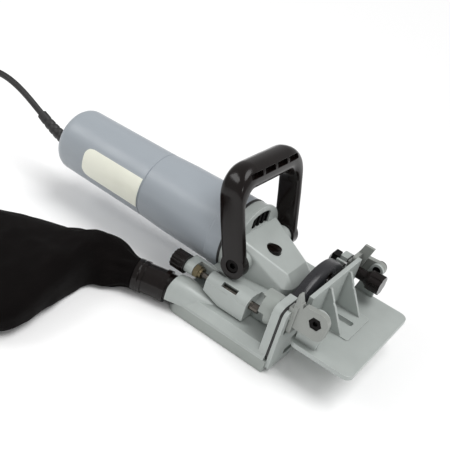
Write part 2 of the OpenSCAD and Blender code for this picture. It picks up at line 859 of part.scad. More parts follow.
// Motor: planes along its axis
front_bearing_r = 13;
rear_bearing_r = 11;
shaft_r = 5;
fan_x = housing_x1 - 20;
fan_t = 12;
fan_r = flange_r - 9;
cap_screw_reach = 8;
stator_clear = 1.5;
stator_x0 = housing_x0 + cap_screw_reach + stator_clear;
stator_x1 = fan_x - 14;
stator_l = stator_x1 - stator_x0;
commutator_x1 = stator_x1 - stator_l - 4;
commutator_l = 20;
commutator_r = 12;
rear_bearing_x = commutator_x1 - commutator_l - 14;
rear_bearing_w = 9;
cap_wall = 3;
cap_in = cap_r - cap_wall;
seam_r = cap_r + 1.3;
seam_dip = 0.8;
slider_x = housing_x0 + 38;
slider_travel = 6;

module motor_housing() {
    color(motor_blue) at_motor() difference() {
        revolve_x([[0, housing_x0], [seam_r - seam_dip, housing_x0], [seam_r, housing_x0 + seam_dip],
            [motor_r - 1, housing_x0 + 26], [motor_r, housing_x1 - 24], [motor_r, housing_x1 - 15],
            [flange_r, housing_x1 - 14],
            [flange_r, housing_x1], [0, housing_x1]]);
        xcyl([housing_x0 - 1, stator_x1], stator_r + fit);
        revolve_x([[0, stator_x1 - 1], [stator_r - 3, stator_x1 - 1], [stator_r - 3, fan_x - 4],
            [fan_r + 1.5, fan_x - 2], [fan_r + 1.5, housing_x1 + 1], [0, housing_x1 + 1]]);
        box([slider_x - 8, slider_x + 8 + slider_travel], [stator_r, 2 * motor_r], [-3.3, 3.3]);
        cap_screw_holes(fit);
    }
}

// The rear cap: a long sleeve with a round end
module rear_cap() {
    edge = 11;
    arc = [for (a = [90:-15:0]) [cap_r - edge + edge * cos(a), cap_x0 + edge - edge * sin(a)]];
    color(motor_blue) at_motor() difference() {
        revolve_x(concat([[0, cap_x0]], arc, [[seam_r, housing_x0 - seam_dip],
            [seam_r - seam_dip, housing_x0], [0, housing_x0]]));
        xcyl([rear_bearing_x + rear_bearing_w, housing_x0 + 1], cap_in);
        xcyl([rear_bearing_x, housing_x0], rear_bearing_r + fit);
        xcyl([rear_bearing_x - 10, housing_x0], shaft_r + 1);
        xcyl([cap_x0 + cap_wall + 1, rear_bearing_x - 5], cap_in - 3);
        translate([0, 0, -cord_z]) xcyl([cap_x0 - 1, cap_x0 + cap_wall + 2], boot_r + fit);
        intake_slots();
        cap_screw_holes(fit);
    }
}

// Air intakes on the left side of the rear cap
module intake_slots() {
    slots = 6;
    for (k = [0:slots - 1])
        box([cap_x0 + 26 + 7 * k, cap_x0 + 29 + 7 * k], [cap_in - 8, 2 * cap_r], [-12, 12]);
}

cap_screw_y = 23;
cap_screw_z = 12;
cap_screw_l = 40;

// Four long screws from inside the cap into the motor housing's rim
module cap_screw_holes(grow) {
    for (y = [-cap_screw_y, cap_screw_y], z = [-cap_screw_z, cap_screw_z])
        translate([0, y * 1.13, z * 1.13])
            xcyl([housing_x0 - cap_screw_l, housing_x0 + cap_screw_reach + grow], 1.6 + grow);
}

module cap_screws() {
    color(steel) at_motor() for (y = [-cap_screw_y, cap_screw_y], z = [-cap_screw_z, cap_screw_z])
        translate([0, y * 1.13, z * 1.13]) {
            xcyl([housing_x0 - 10, housing_x0 + cap_screw_reach], 1.6);
        }
}

module gear_head_screws() {
    color(steel) head_screw_shape(0);
}

module stator() {
    slots = 2;
    color(dark_steel) at_motor() difference() {
        xcyl([stator_x1 - stator_l, stator_x1], stator_r);
        xcyl([stator_x1 - stator_l - 1, stator_x1 + 1], armature_r + 0.6);
        for (s = [0:slots - 1]) rotate([180 * s + 45, 0, 0])
            box([stator_x1 - stator_l - 1, stator_x1 + 1], [-4, 4], [armature_r, stator_r - 4]);
    }
}

brush_x = commutator_x1 - commutator_l / 2;

module brush_holders() {
    color(brass) at_motor() both_sides() translate([brush_x, 0, 0]) difference() {
        box([-5, 5], [commutator_r + 2, cap_in - 0.6], [-4.5, 4.5]);
        box([-3.5, 3.5], [commutator_r + 1, cap_in + 1], [-3, 3]);
    }
}

module carbon_brushes() {
    color(carbon) at_motor() both_sides() translate([brush_x, 0, 0])
        box([-3.4, 3.4], [commutator_r + gap, cap_in - 5], [-2.9, 2.9]);
}

module switch_unit() {
    w = 13;
    low = -sqrt((cap_in - 3) * (cap_in - 3) - w * w) + 0.1;
    color(black_plastic) at_motor() {
        box([cap_x0 + 24, rear_bearing_x - 12], [-w, w], [low, 6]);
        box([cap_x0 + 30, cap_x0 + 34], [-4, 4], [6 - eps, 12]);
    }
}

module armature_bearings() {
    color(steel) at_motor() {
        bearing_ring([head_x0, head_x0 + 8], front_bearing_r, shaft_r + fit);
        bearing_ring([rear_bearing_x, rear_bearing_x + rear_bearing_w], rear_bearing_r, shaft_r + fit);
    }
}

// A ball bearing with a groove round both faces
module bearing_ring(x, r_out, r_in) {
    mid = (r_out + r_in) / 2;
    difference() {
        xcyl(x, r_out);
        xcyl([x[0] - 1, x[1] + 1], r_in);
        for (side = [x[0] - 1, x[1] - 1]) difference() {
            xcyl([side, side + 2], mid + 1.2);
            xcyl([side - 1, side + 3], mid - 1.2);
        }
    }
}

module spindle_bearing() {
    color(steel) translate([spindle_x, 0, bearing_z + bearing_h]) rotate([0, 90, 0])
        bearing_ring([0, bearing_h], bearing_r, spindle_r + fit);
}

// Handle bolts: socket heads sunk in the handle's bosses
bolt_head_r = 6;
bolt_head_t = 4;
bolt_sink = 1;

module handle_bolts() {
    seat = handle_in + leg_t - bolt_sink - bolt_head_t;
    color(dark_steel) translate([pivot_x, 0, pivot_z]) both_sides() difference() {
        union() {
            ycyl([handle_in - 12, seat + eps], handle_bolt_r);
            ycyl([seat, seat + bolt_head_t], bolt_head_r);
        }
        translate([0, seat + 1, 0]) rotate([-90, 0, 0]) cylinder(h = bolt_head_t, r = 3, $fn = 6);
    }
}

// The D handle: flat legs that swell into a round bar through wide bends.
// A station has its outer point, its inner point, and how far the leg has become the bar.
handle_out = handle_in + leg_t;
handle_skin = 0.2;
bar_low = handle_reach - bar_t;
bar_out = handle_out + handle_spread - handle_skin;
bar_in = handle_in + handle_spread + handle_skin;
bend_out = 26;
bend_in = 15;
handle_n = 24;
leg_half = concat(
    [for (k = [0:4]) let (z = k * (bar_low - bend_in) / 5, y = k * handle_spread / 5)
        [[handle_out - handle_skin + y, z], [handle_in + handle_skin + y, z], 0]],
    [for (a = [0:9:90]) let (f = a / 90) [
        [bar_out - bend_out * (1 - cos(a)), handle_reach - bend_out * (1 - sin(a))],
        [bar_in - bend_in * (1 - cos(a)), bar_low - bend_in * (1 - sin(a))],
        f * f * (3 - 2 * f)]]);
leg_steps = len(leg_half);
handle_stations = concat([for (s = leg_half) [[-s[0][0], s[0][1]], [-s[1][0], s[1][1]], s[2]]],
    [[[0, handle_reach], [0, bar_low], 1]], [for (k = [1:leg_steps]) leg_half[leg_steps - k]]);

function handle_section(s) =
    let (mid = (s[0] + s[1]) / 2, half = (s[0] - s[1]) / 2,
        wide = leg_w / 2 + (bar_t * 0.52 - leg_w / 2) * s[2],
        power = 0.5 + 0.4 * s[2])
    [for (k = [0:handle_n - 1])
        let (a = 360 * k / handle_n, p = mid + half * bulge(cos(a), power))
        [wide * bulge(sin(a), power), p[0], p[1]]];

// The D handle, with grip recesses along the front of its bar
module handle() {
    recesses = 4;
    pitch = 20.5;
    boss = leg_w / 2 + 0.5;
    seat = handle_out - bolt_sink - bolt_head_t;
    color(black_plastic) translate([pivot_x, 0, pivot_z]) rotate([0, -handle_lean, 0]) difference() {
        union() {
            loft([for (s = handle_stations) handle_section(s)]);
            both_sides() ycyl([handle_in, handle_out], boss);
        }
        both_sides() ycyl([0, base_w], handle_bolt_r + fit);
        both_sides() ycyl([seat - gap, base_w], bolt_head_r + gap);
        for (k = [0:recesses - 1]) translate([bar_t / 2 - 4.5, (k - (recesses - 1) / 2) * pitch,
            handle_reach - bar_t / 2 + 3]) box([0, bar_t], [-8.5, 8.5], [-2.5, 2.5]);
    }
}

// The slide switch on the left of the motor housing
module switch_slider() {
    color(black_plastic) at_motor() translate([slider_x, 0, 0]) {
        box([-5, 5], [stator_r + 0.6, motor_r + 2], [-2.9, 2.9]);
        difference() {
            box([-12, 12], [motor_r - 1.5, motor_r + 3], [-7, 7]);
            translate([-slider_x, 0, 0]) xcyl([housing_x0 - 1, housing_x1], motor_r + gap);
            for (k = [-3:3]) translate([3 * k, motor_r + 3, 0]) rotate([0, 0, 45])
                box([-0.7, 0.7], [-0.7, 0.7], [-8, 8]);
        }
    }
}

// The spindle lock: a button whose pin drops into a hole of the lock disc
module lock_button() {
    color(black_plastic) translate([button_x, -button_y, 0]) {
        translate([0, 0, disc_z + disc_t + 1])
            cylinder(h = button_top_z - disc_z - disc_t - 2, r = disc_hole_r - gap);
        translate([0, 0, button_top_z - 5]) cylinder(h = 4, r = button_r);
        translate([0, 0, button_top_z - 1 - eps]) box([-5, 5], [-1.5, 1.5], [0, 1]);
    }
}

module lock_spring() {
    color(steel) translate([button_x, -button_y, button_top_z - 9]) difference() {
        cylinder(h = 4, r = 4.5);
        translate([0, 0, -1]) cylinder(h = 6, r = 3.5);
    }
}

module armature_shaft() {
    color(steel) at_motor() {
        xcyl([rear_bearing_x, spindle_x - gear_r - 5], shaft_r);
        xcyl([spindle_x - gear_r - 5 - eps, spindle_x - gear_r * 0.72], 3);
    }
}

module armature_core() {
    slots = 12;
    color(dark_steel) at_motor() difference() {
        xcyl([stator_x1 - stator_l + 2, stator_x1 - 2], armature_r);
        xcyl([stator_x1 - stator_l, stator_x1], shaft_r);
        for (k = [0:slots - 1]) rotate([360 * k / slots, 0, 0]) translate([0, armature_r - 4, 0])
            box([stator_x1 - stator_l, stator_x1], [0, 6], [-1, 1]);
    }
}

module commutator() {
    bars = 24;
    color(copper) at_motor() difference() {
        xcyl([commutator_x1 - commutator_l, commutator_x1], commutator_r);
        xcyl([commutator_x1 - commutator_l - 1, commutator_x1 + 1], shaft_r);
        for (k = [0:bars - 1]) rotate([360 * k / bars, 0, 0]) translate([0, commutator_r - 0.8, 0])
            box([commutator_x1 - commutator_l - 1, commutator_x1 - 3], [0, 2], [-0.25, 0.25]);
    }
}

module cooling_fan() {
    blades = 11;
    color(black_plastic) at_motor() difference() {
        union() {
            xcyl([fan_x, fan_x + fan_t], shaft_r + 4);
            xcyl([fan_x, fan_x + 2], fan_r);
            for (k = [0:blades - 1]) rotate([360 * k / blades, 0, 0])
                rotate([0, 0, 12]) translate([fan_x, 0, 0]) fan_blade();
        }
        xcyl([fan_x - 20, fan_x + 30], shaft_r);
    }
}

module fan_blade() {
    rotate([0, 0, -12]) box([1, fan_t - 1], [shaft_r + 3, fan_r - 1], [-0.8, 0.8]);
}

// Half thickness of an involute tooth in degrees, at a radius of the equivalent spur gear
function involute(a) = tan(a) * 180 / PI - a;
function tooth_half(rv, half_pitch_tooth, r) =
    let (base = rv * cos(pressure), a = r > base ? acos(base / r) : 0)
    half_pitch_tooth + involute(pressure) - involute(a);

// One straight bevel gear with its axis on +Z and its cone's tip at the origin, below which it lies
module bevel(n, cone, tip, root, addendum_shift) {
    rv = gear_m * n / 2 / cos(cone);
    thick = gear_m * (PI / 2 + 2 * addendum_shift * tan(pressure)) - backlash;
    half = thick / 2 / rv * 180 / PI;
    levels = [for (i = [0:4]) -root + (tip + root) * i / 4];
    flank = [for (h = levels) let (r = rv + h, a = cone + h / cone_l * 180 / PI)
        [a, tooth_half(rv, half, r) * r / (cone_l * sin(a))]];
    step = 360 / n;
    outline = [for (t = [0:n - 1]) each concat(
        [for (f = flank) [f[0], t * step - f[1]]],
        [for (i = [4:-1:0]) [flank[i][0], t * step + flank[i][1]]])];
    count = len(outline);
    ends = [cone_l, cone_l - gear_face];
    tooth_pts = [for (l = ends) each [for (o = outline)
        l * [sin(o[0]) * cos(o[1]), sin(o[0]) * sin(o[1]), -cos(o[0])]]];
    centres = [[0, 0, -ends[0] * cos(cone - root / cone_l * 180 / PI)],
        [0, 0, -ends[1] * cos(cone - root / cone_l * 180 / PI)]];
    faces = [for (k = [0:count - 1]) let (m = (k + 1) % count)
        each [[k, k + count, m], [m, k + count, m + count], [2 * count, k, m],
            [2 * count + 1, m + count, k + count]]];
    polyhedron(concat(tooth_pts, centres), faces);
}

pinion_tip = gear_m * (1 + shift);
gear_tip = gear_m * (1 - shift);
tooth_clear = 0.3 * gear_m;
gear_low = motor_z - cone_l * cos(90 - pinion_cone - (pinion_tip + tooth_clear) / cone_l * 180 / PI);

module bevel_pinion() {
    color(steel) translate([spindle_x, 0, motor_z]) difference() {
        union() {
            rotate([0, 90, 0])
                bevel(pinion_n, pinion_cone, pinion_tip, gear_tip + tooth_clear, shift);
            xcyl([-gear_r - 4, -gear_r + 1], pinion_r - 1.5);
        }
        xcyl([-2 * gear_r, 0], 3);
    }
}

module bevel_gear() {
    color(dark_steel) difference() {
        union() {
            translate([spindle_x, 0, motor_z]) rotate([0, 0, 180 + 180 / gear_n])
                bevel(gear_n, 90 - pinion_cone, gear_tip, pinion_tip + tooth_clear, -shift);
            translate([spindle_x, 0, gear_back_z])
                cylinder(h = gear_low - gear_back_z + eps, r = gear_r - 1.5);
            translate([spindle_x, 0, gear_back_z])
                cylinder(h = gear_low - gear_back_z + 1.2, r = 0.75 * gear_r);
        }
        translate([spindle_x, 0, 0]) cylinder(h = base_l, r = gear_bore);
    }
}

// The spindle, with its collar above the blade and the seat of the blade
module spindle() {
    top = disc_z + disc_t;
    shoulder = gear_low + 2;
    color(steel) translate([spindle_x, 0, 0]) {
        translate([0, 0, blade_z]) cylinder(h = shoulder - blade_z, r = spindle_r);
        translate([0, 0, blade_z]) cylinder(h = top - blade_z, r = top_r);
        translate([0, 0, blade_z + blade_t / 2])
            cylinder(h = deck_z - 2 - blade_z - blade_t / 2, r = collar_r);
        translate([0, 0, bearing_z + bearing_h])
            cylinder(h = gear_back_z - bearing_z - bearing_h, r = spindle_r + 2);
        translate([0, 0, cover_floor + 1]) cylinder(h = blade_z - cover_floor, r = spindle_r + 1);
    }
}

module lock_disc() {
    color(dark_steel) translate([spindle_x, 0, disc_z]) difference() {
        cylinder(h = disc_t, r = button_ring + 4);
        translate([0, 0, -1]) cylinder(h = disc_t + 2, r = top_r);
        for (a = [0:90:270]) rotate([0, 0, a + button_turn]) translate([button_ring, 0, -1])
            cylinder(h = disc_t + 2, r = disc_hole_r);
    }
}

// The saw blade: tipped teeth with gullets between them
module saw_blade() {
    gullet = 7;
    color(steel) translate([spindle_x, 0, blade_z - blade_t / 2]) difference() {
        cylinder(h = blade_t, r = blade_d / 2);
        translate([0, 0, -1]) cylinder(h = blade_t + 2, r = spindle_r + 1);
        for (k = [0:blade_teeth - 1]) rotate([0, 0, 360 * k / blade_teeth])
            translate([blade_d / 2 - gullet / 2, 0, -1]) {
            cylinder(h = blade_t + 2, r = gullet);
            rotate([0, 0, 24]) translate([0, -gullet, 0]) cube([gullet * 2, gullet * 2, blade_t + 2]);
        }
        for (k = [0:3]) rotate([0, 0, 90 * k + 45]) translate([blade_d / 4 + 4, 0, -1])
            cylinder(h = blade_t + 2, r = 2);
    }
}

module blade_nut() {
    color(dark_steel) translate([spindle_x, 0, cover_floor + 1.2]) difference() {
        cylinder(h = blade_z - blade_t / 2 - cover_floor - 1.2, r = collar_r + 1);
        translate([0, 0, -1]) cylinder(h = base_l, r = spindle_r + 1);
        for (a = [0:90:270]) rotate([0, 0, a]) translate([collar_r - 1.6, 0, -1]) cylinder(h = 4, r = 1.2);
    }
}

// The depth rod slides in the block; its thin tail is drawn by the knob's thread
module depth_rod() {
    color(dark_steel) at_rod() {
        xcyl([block_x0 + 6, rod_tip_x], rod_r);
        xcyl([rod_tail_x - 12, block_x0 + 6 + eps], tail_r);
        for (k = [0:6]) xcyl([block_x0 + 15.5 + 2.2 * k, block_x0 + 16.5 + 2.2 * k], rod_r + fit / 2);
    }
}

module depth_knob() {
    flutes = 14;
    color(black_plastic) at_rod() difference() {
        union() {
            xcyl([lug_x0 - gap - knob_l, lug_x0 - gap], knob_r);
            xcyl([lug_x0 - gap - 1, lug_x1 + gap], sleeve_r);
        }
        xcyl([rod_tail_x - 18, lug_x1 + 2], tail_r + 0.2);
        for (k = [0:flutes - 1]) rotate([360 * k / flutes, 0, 0]) translate([0, knob_r + 0.5, 0])
            xcyl([lug_x0 - gap - knob_l - 1, lug_x0 - gap - 2.5], 1.3);
    }
}

// The brass collar nut that keeps the knob in its lug
module depth_collar() {
    color(brass) at_rod() difference() {
        union() {
            translate([lug_x1 + gap, 0, 0]) rotate([0, 90, 0]) cylinder(h = 5, r = 6.5, $fn = 6);
            xcyl([lug_x1 + gap, lug_x1 + 8], 5);
        }
        xcyl([lug_x1, lug_x1 + 9], tail_r + 0.2);
    }
}

// Outline of the near ear: a plate round the tilt axis with a pointer and a notch at its top
module near_ear_outline() {
    r = 8;
    difference() {
        hull() {
            translate([tilt_x + 11 - r, tilt_z - 15 + r]) circle(r, $fn = hull_fn);
            translate([tilt_x + 11 - r, tilt_z + 11 - r]) circle(r, $fn = hull_fn);
            translate([slide_x0 + 3, tilt_z - 12]) circle(3, $fn = hull_fn);
            translate([slide_x0, tilt_z + 4]) square([2, 6]);
        }
        translate([slide_x0 + 7.5, tilt_z + 7]) polygon([[0, 0], [4, 10], [-5, 10]]);
    }
    polygon([[slide_x0, tilt_z], [slide_x0 + 8, tilt_z + 4], [slide_x0 + 1.5, tilt_z + 18],
        [slide_x0, tilt_z + 17]]);
}

// Outline of the far ear: a lug round the tilt axis
module far_ear_outline() {
    hull() {
        translate([tilt_x, tilt_z]) circle(r = 6.5, $fn = hull_fn);
        translate([slide_x0, tilt_z - 9]) square([slide_t, 14]);
    }
}

// Outline of the slender post at the far end of the height slide
module post_outline() {
    polygon([[slide_x0, tilt_z - 14], [slide_x1, tilt_z - 14], [slide_x0 + 13, tilt_z + 20],
        [slide_x0 + 3, tilt_z + 20],
        [slide_x0, tilt_z + 10]]);
}

module height_slide() {
    low = tilt_z - 22;
    top = tilt_z + 7;
    color(alloy) difference() {
        union() {
            yz_plate([slide_x0, slide_x1]) {
                round_rect([near_ear_y - 1, low], [near_ear_y + ear_t + 4, top], 3);
                round_rect([back_far + 0.5, low], [far_ear_y + ear_t, top + 4], 3);
                translate([near_ear_y, low]) square([lock_y - near_ear_y, 6]);
            }
            for (y = [lock_y, near_ear_y + ear_t / 2])
                box([0.5, slide_x0 + 1], [y - key_w / 2, y + key_w / 2], [lock_z - key_w / 2, lock_z + 8]);
            xz_plate([far_ear_y - 6.5, far_ear_y - 3.5]) post_outline();
            xz_plate([near_ear_y, near_ear_y + ear_t]) near_ear_outline();
            xz_plate([far_ear_y, far_ear_y + ear_t]) far_ear_outline();
        }
        at_lock() xcyl([0, base_l], stud_r + fit);
        at_tilt() ycyl([-base_w, base_w], tilt_bolt_r + fit);
        at_tilt() translate([0, near_ear_y - 1, 0]) rotate([-90, 0, 0]) cylinder(h = 3, r = 6.2, $fn = 6);
    }
}

tilt_bolt_r = 4;
inner_near = near_ear_y + ear_t + inner_gap;
inner_far = fence_w / 2;
back_far = lock_y - 6.5;

// The clamp nut behind the left pillar that holds the height slide to the front
module clamp_nut() {
    color(steel) at_lock() difference() {
        box([pillar_x - 6, pillar_x - fit], [-4.2, 6.5], [-7, 7]);
        xcyl([pillar_x - 7, 0], stud_r + fit);
    }
}

module height_stud() {
    color(steel) at_lock() xcyl([pillar_x - 8, slide_x1 + 18], stud_r);
}

// The height lock's knob: a stem and a lobed grip
module height_knob() {
    lobes = 8;
    grip_x0 = slide_x1 + 17;
    color(black_plastic) at_lock() difference() {
        union() {
            xcyl([slide_x1 + gap, grip_x0 + 1], 5.6);
            translate([grip_x0 - 4, 0, 0]) rotate([0, 90, 0]) cylinder(h = 4 + eps, r1 = 6, r2 = lock_r - 1);
            xcyl([grip_x0, grip_x0 + 13], lock_r);
        }
        xcyl([slide_x1 - 1, slide_x1 + 18], stud_r);
        for (k = [0:lobes - 1]) rotate([360 * k / lobes, 0, 0]) translate([0, lock_r + 1.5, 0])
            xcyl([grip_x0 + 1.5, grip_x0 + 14], 2.4);
    }
}

// Outline of a fence ear round the tilt axis, down to the plate
module inner_ear_outline(r) {
    hull() {
        translate([tilt_x, tilt_z]) circle(r, $fn = hull_fn);
        translate([back_x0 + 3, fence_z + 1]) square([tilt_x - back_x0 + 3, fence_t - 1]);
    }
}

// A triangular rib between the fence's back wall and its plate
module gusset(y) {
    xz_plate([y - 1.5, y + 1.5]) polygon([[back_x1 - 1, fence_z + 1], [fence_reach * 0.55, fence_z + 1],
        [fence_reach * 0.55, fence_top], [back_x1 + 2, back_top - 3], [back_x1 - 1, back_top - 3]]);
}

window_y = 3;

// The tilting fence: plate, back wall with a rail along its top, ribs and ears
module tilt_fence() {
    rib_y = 19;
    color(alloy) difference() {
        union() {
            translate([0, 0, fence_z]) linear_extrude(fence_t)
                round_rect([back_x0, -fence_w / 2], [fence_reach, fence_w / 2], 8);
            box([back_x0, back_x1], [inner_near + ear_t, back_far], [fence_z + 1, back_top]);
            box([back_x0 + 3, back_x1], [inner_near, inner_near + ear_t + 1], [fence_z + 1, tilt_z - 9]);
            for (y = [-rib_y, rib_y]) gusset(y);
            translate([0, 0, fence_z + 1]) linear_extrude(fence_t)
                round_rect([back_x0, -rib_y - 2], [fence_reach * 0.65, rib_y + 6], 3);
            xz_plate([inner_near, inner_near + ear_t - 1]) inner_ear_outline(9);
            xz_plate([inner_far - far_inner_t, inner_far]) inner_ear_outline(6.5);
        }
        at_tilt() ycyl([-base_w, base_w], tilt_bolt_r + fit);
        translate([0, 0, fence_z - 1]) linear_extrude(fence_t + 4)
            round_rect([back_x1 + 5, window_y - 3.6], [fence_reach * 0.55, window_y + 3.6], 2.5);
    }
}

// Tilt bolts: one through each pair of ears, with a hexagon socket on the near side
module tilt_bolts() {
    color(dark_steel) at_tilt() {
        difference() {
            union() {
                ycyl([near_ear_y + 1, inner_near + ear_t + 3], tilt_bolt_r);
                ycyl([inner_near + ear_t - 1 + gap, inner_near + ear_t + 3], tilt_bolt_r + 2.5);
                translate([0, near_ear_y + 0.6, 0]) rotate([-90, 0, 0]) cylinder(h = 1.4, r = 6.1, $fn = 6);
            }
            translate([0, near_ear_y, 0]) rotate([-90, 0, 0]) cylinder(h = 3, r = 2.5, $fn = 6);
        }
        ycyl([inner_far - far_inner_t, far_ear_y + ear_t], tilt_bolt_r);
        ycyl([far_ear_y + ear_t, far_ear_y + ear_t + 2], tilt_bolt_r + 2);
    }
}

// The tapered boot of the mains lead, along the first points of its route
boot_r = 7;

module strain_relief() {
    pts = [for (i = [0:boot_n - 1]) cord_route[i]];
    taper = boot_r - cord_r - 1.6;
    radii = [for (i = [0:boot_n - 1]) boot_r - taper * max(0, i - 1) / (boot_n - 2)];
    color(rubber) difference() {
        tube(pts, radii, [0, 1, 0], 12);
        tube([for (i = [boot_n - 2:boot_n]) cord_route[i]], [for (i = [0:2]) cord_r + gap], [0, 1, 0], 12);
    }
}

module power_cord() {
    pts = [for (i = [boot_n - 1:len(cord_route) - 1]) cord_route[i]];
    color(rubber) tube(pts, [for (p = pts) cord_r], [0, 1, 0], 10);
}

// The coil: inwards on the surface, up a layer in the half turn where it reverses, and outwards again
function coil_turn(u) = abs(u - coil_layer_turns);
function coil_climb(u) = max(0, min(1, (u - coil_layer_turns + 0.25) * 2));
function coil_at(u) =
    let (r = coil_in_r + coil_pitch * coil_turn(u), a = 90 + 360 * u, c = coil_climb(u))
    coil_c + [r * cos(a), r * sin(a), coil_rise * c * c * (3 - 2 * c)];
coil_steps = coil_turns * coil_rings;
coil_body = [for (i = [0:coil_steps]) coil_at(i / coil_rings)];
coil_pts = concat([coil_body[0] + [coil_lead, 0, 0]], coil_body, [coil_body[coil_steps] - [coil_tail, 0, 0]]);
echo(least_coil_gap = min([for (i = [0:coil_steps - 1], j = [i + coil_rings / 2:coil_steps])
    norm(coil_body[i] - coil_body[j])]) - 2 * cord_r);

module cord_coil() {
    color(rubber) tube(coil_pts, [for (p = coil_pts) cord_r], [0, 0, 1], 6);
}

// The tie round the coil's bundle, on the side away from the plug
module coil_tie() {
    low = coil_in_r - cord_r - gap;
    high = coil_out_r + cord_r + gap;
    top = coil_z + coil_rise + cord_r + gap;
    color(rubber) translate([coil_c[0], coil_c[1], 0]) xz_band([-high, -low], [tie_t + gap / 2, top]);
}

module xz_band(y, z) {
    yz_plate([-5, 5]) difference() {
        round_rect([y[0] - tie_t, z[0] - tie_t], [y[1] + tie_t, z[1] + tie_t], tie_t + 1);
        round_rect([y[0], z[0]], [y[1], z[1]], 1);
    }
}

// The plug: a flat moulded body with a waist, on the end of the coil
plug_l = 38;
plug_w = 36;
pin_r = 2.4;
pin_l = 19;
pin_gap = 19;
plug_at = coil_pts[len(coil_pts) - 1];

module plug_outline() {
    w = plug_w / 2;
    hull() {
        translate([-plug_l + 1, -w + 1]) square([1, 2 * w - 2]);
        translate([-plug_l + 16, 0]) scale([0.7, 1]) circle(r = w, $fn = hull_fn);
    }
    hull() {
        translate([-14, 0]) circle(r = 9, $fn = hull_fn);
        translate([-4, 0]) circle(r = 5, $fn = hull_fn);
        translate([-2, -4.5]) square([2, 9]);
    }
}

module plug() {
    h = plug_at[2];
    color(rubber) translate([plug_at[0], plug_at[1], h]) difference() {
        intersection() {
            translate([0, 0, -h + 0.2]) linear_extrude(2 * h - 0.4) plug_outline();
            hull() {
                xcyl([-plug_l, -20], h + 4);
                xcyl([-1, 0], 5);
            }
        }
        for (s = [-1, 1]) translate([0, s * pin_gap / 2, 0]) xcyl([-plug_l - 1, -plug_l + 10], pin_r + fit);
    }
}

module plug_pins() {
    color(brass) translate(plug_at) for (s = [-1, 1]) translate([0, s * pin_gap / 2, 0])
        xcyl([-plug_l - pin_l, -plug_l + 10], pin_r);
}

base_cover();
base_housing();
cover_screws();
front_pad();
front_plate();
nose_guard();
return_springs();
dust_adapter();
bag_ring();
dust_bag();
turret_screw();
depth_turret();
carriage();
gear_head();
flange_gasket();
motor_housing();
rear_cap();
cap_screws();
gear_head_screws();
air_grille();
stator();
brush_holders();
carbon_brushes();
switch_unit();
armature_bearings();
spindle_bearing();
handle_bolts();
strain_relief();
handle();
switch_slider();
lock_button();
lock_spring();
armature_shaft();
armature_core();
commutator();
cooling_fan();
bevel_pinion();
spindle();
bevel_gear();
lock_disc();
saw_blade();
blade_nut();
depth_rod();
depth_knob();
depth_collar();
height_slide();
clamp_nut();
height_knob();
height_stud();
tilt_fence();
tilt_bolts();
power_cord();
cord_coil();
coil_tie();
plug();
plug_pins();
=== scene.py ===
# Biscuit joiner: finishes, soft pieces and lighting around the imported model
import math

import bmesh
import bpy
from mathutils import Matrix, Vector, noise


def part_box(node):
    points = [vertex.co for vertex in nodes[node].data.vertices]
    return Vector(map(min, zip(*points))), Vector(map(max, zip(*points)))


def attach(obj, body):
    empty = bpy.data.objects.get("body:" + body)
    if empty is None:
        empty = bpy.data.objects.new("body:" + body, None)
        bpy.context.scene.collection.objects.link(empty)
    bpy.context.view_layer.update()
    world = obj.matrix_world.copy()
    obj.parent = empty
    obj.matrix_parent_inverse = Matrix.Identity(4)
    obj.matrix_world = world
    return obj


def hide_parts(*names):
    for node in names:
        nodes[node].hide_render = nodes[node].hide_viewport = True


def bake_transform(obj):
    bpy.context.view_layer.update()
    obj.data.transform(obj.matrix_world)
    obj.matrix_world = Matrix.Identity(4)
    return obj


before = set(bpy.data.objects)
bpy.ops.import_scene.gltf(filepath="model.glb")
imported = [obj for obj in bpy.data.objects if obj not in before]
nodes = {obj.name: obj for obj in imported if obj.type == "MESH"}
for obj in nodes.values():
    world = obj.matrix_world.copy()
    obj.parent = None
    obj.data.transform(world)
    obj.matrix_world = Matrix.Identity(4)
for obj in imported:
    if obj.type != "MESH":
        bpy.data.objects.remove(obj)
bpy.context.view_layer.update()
scene = bpy.context.scene
MM = 0.001


# Camera
IMAGE_PX = 450
FOCAL_PX = 766.87
SENSOR_MM = 36.0
CAMERA_RIGHT = Vector((0.79061, 0.56016, 0.24729))
CAMERA_DOWN = Vector((0.47713, -0.31047, -0.82217))
CAMERA_AHEAD = Vector((-0.38377, 0.76800, -0.51273))
CAMERA_AT = Vector((166.33, -551.07, 430.11)) * MM


def place_camera():
    lens = bpy.data.cameras.new("camera")
    lens.sensor_fit = "HORIZONTAL"
    lens.sensor_width = SENSOR_MM
    lens.lens = FOCAL_PX * SENSOR_MM / IMAGE_PX
    lens.clip_start = 0.01
    camera = bpy.data.objects.new("camera", lens)
    scene.collection.objects.link(camera)
    turn = Matrix((CAMERA_RIGHT, -CAMERA_DOWN, -CAMERA_AHEAD)).transposed()
    camera.matrix_world = Matrix.Translation(CAMERA_AT) @ turn.to_4x4()
    scene.camera = camera


place_camera()


# Shader helpers
def start_material(name, colour, roughness, metallic=0.0):
    material = bpy.data.materials.new(name)
    material.use_nodes = True
    tree = material.node_tree
    shader = tree.nodes["Principled BSDF"]
    shader.inputs["Base Color"].default_value = (*colour, 1)
    shader.inputs["Roughness"].default_value = roughness
    shader.inputs["Metallic"].default_value = metallic
    return material, tree, shader


def object_place(tree):
    return tree.nodes.new("ShaderNodeTexCoord").outputs["Object"]


def noise_field(tree, scale, detail=3.0, place=None):
    """A soft random pattern over the piece, between 0 and 1."""
    field = tree.nodes.new("ShaderNodeTexNoise")
    field.inputs["Scale"].default_value = scale
    field.inputs["Detail"].default_value = detail
    tree.links.new(place or object_place(tree), field.inputs["Vector"])
    return field.outputs["Fac"]


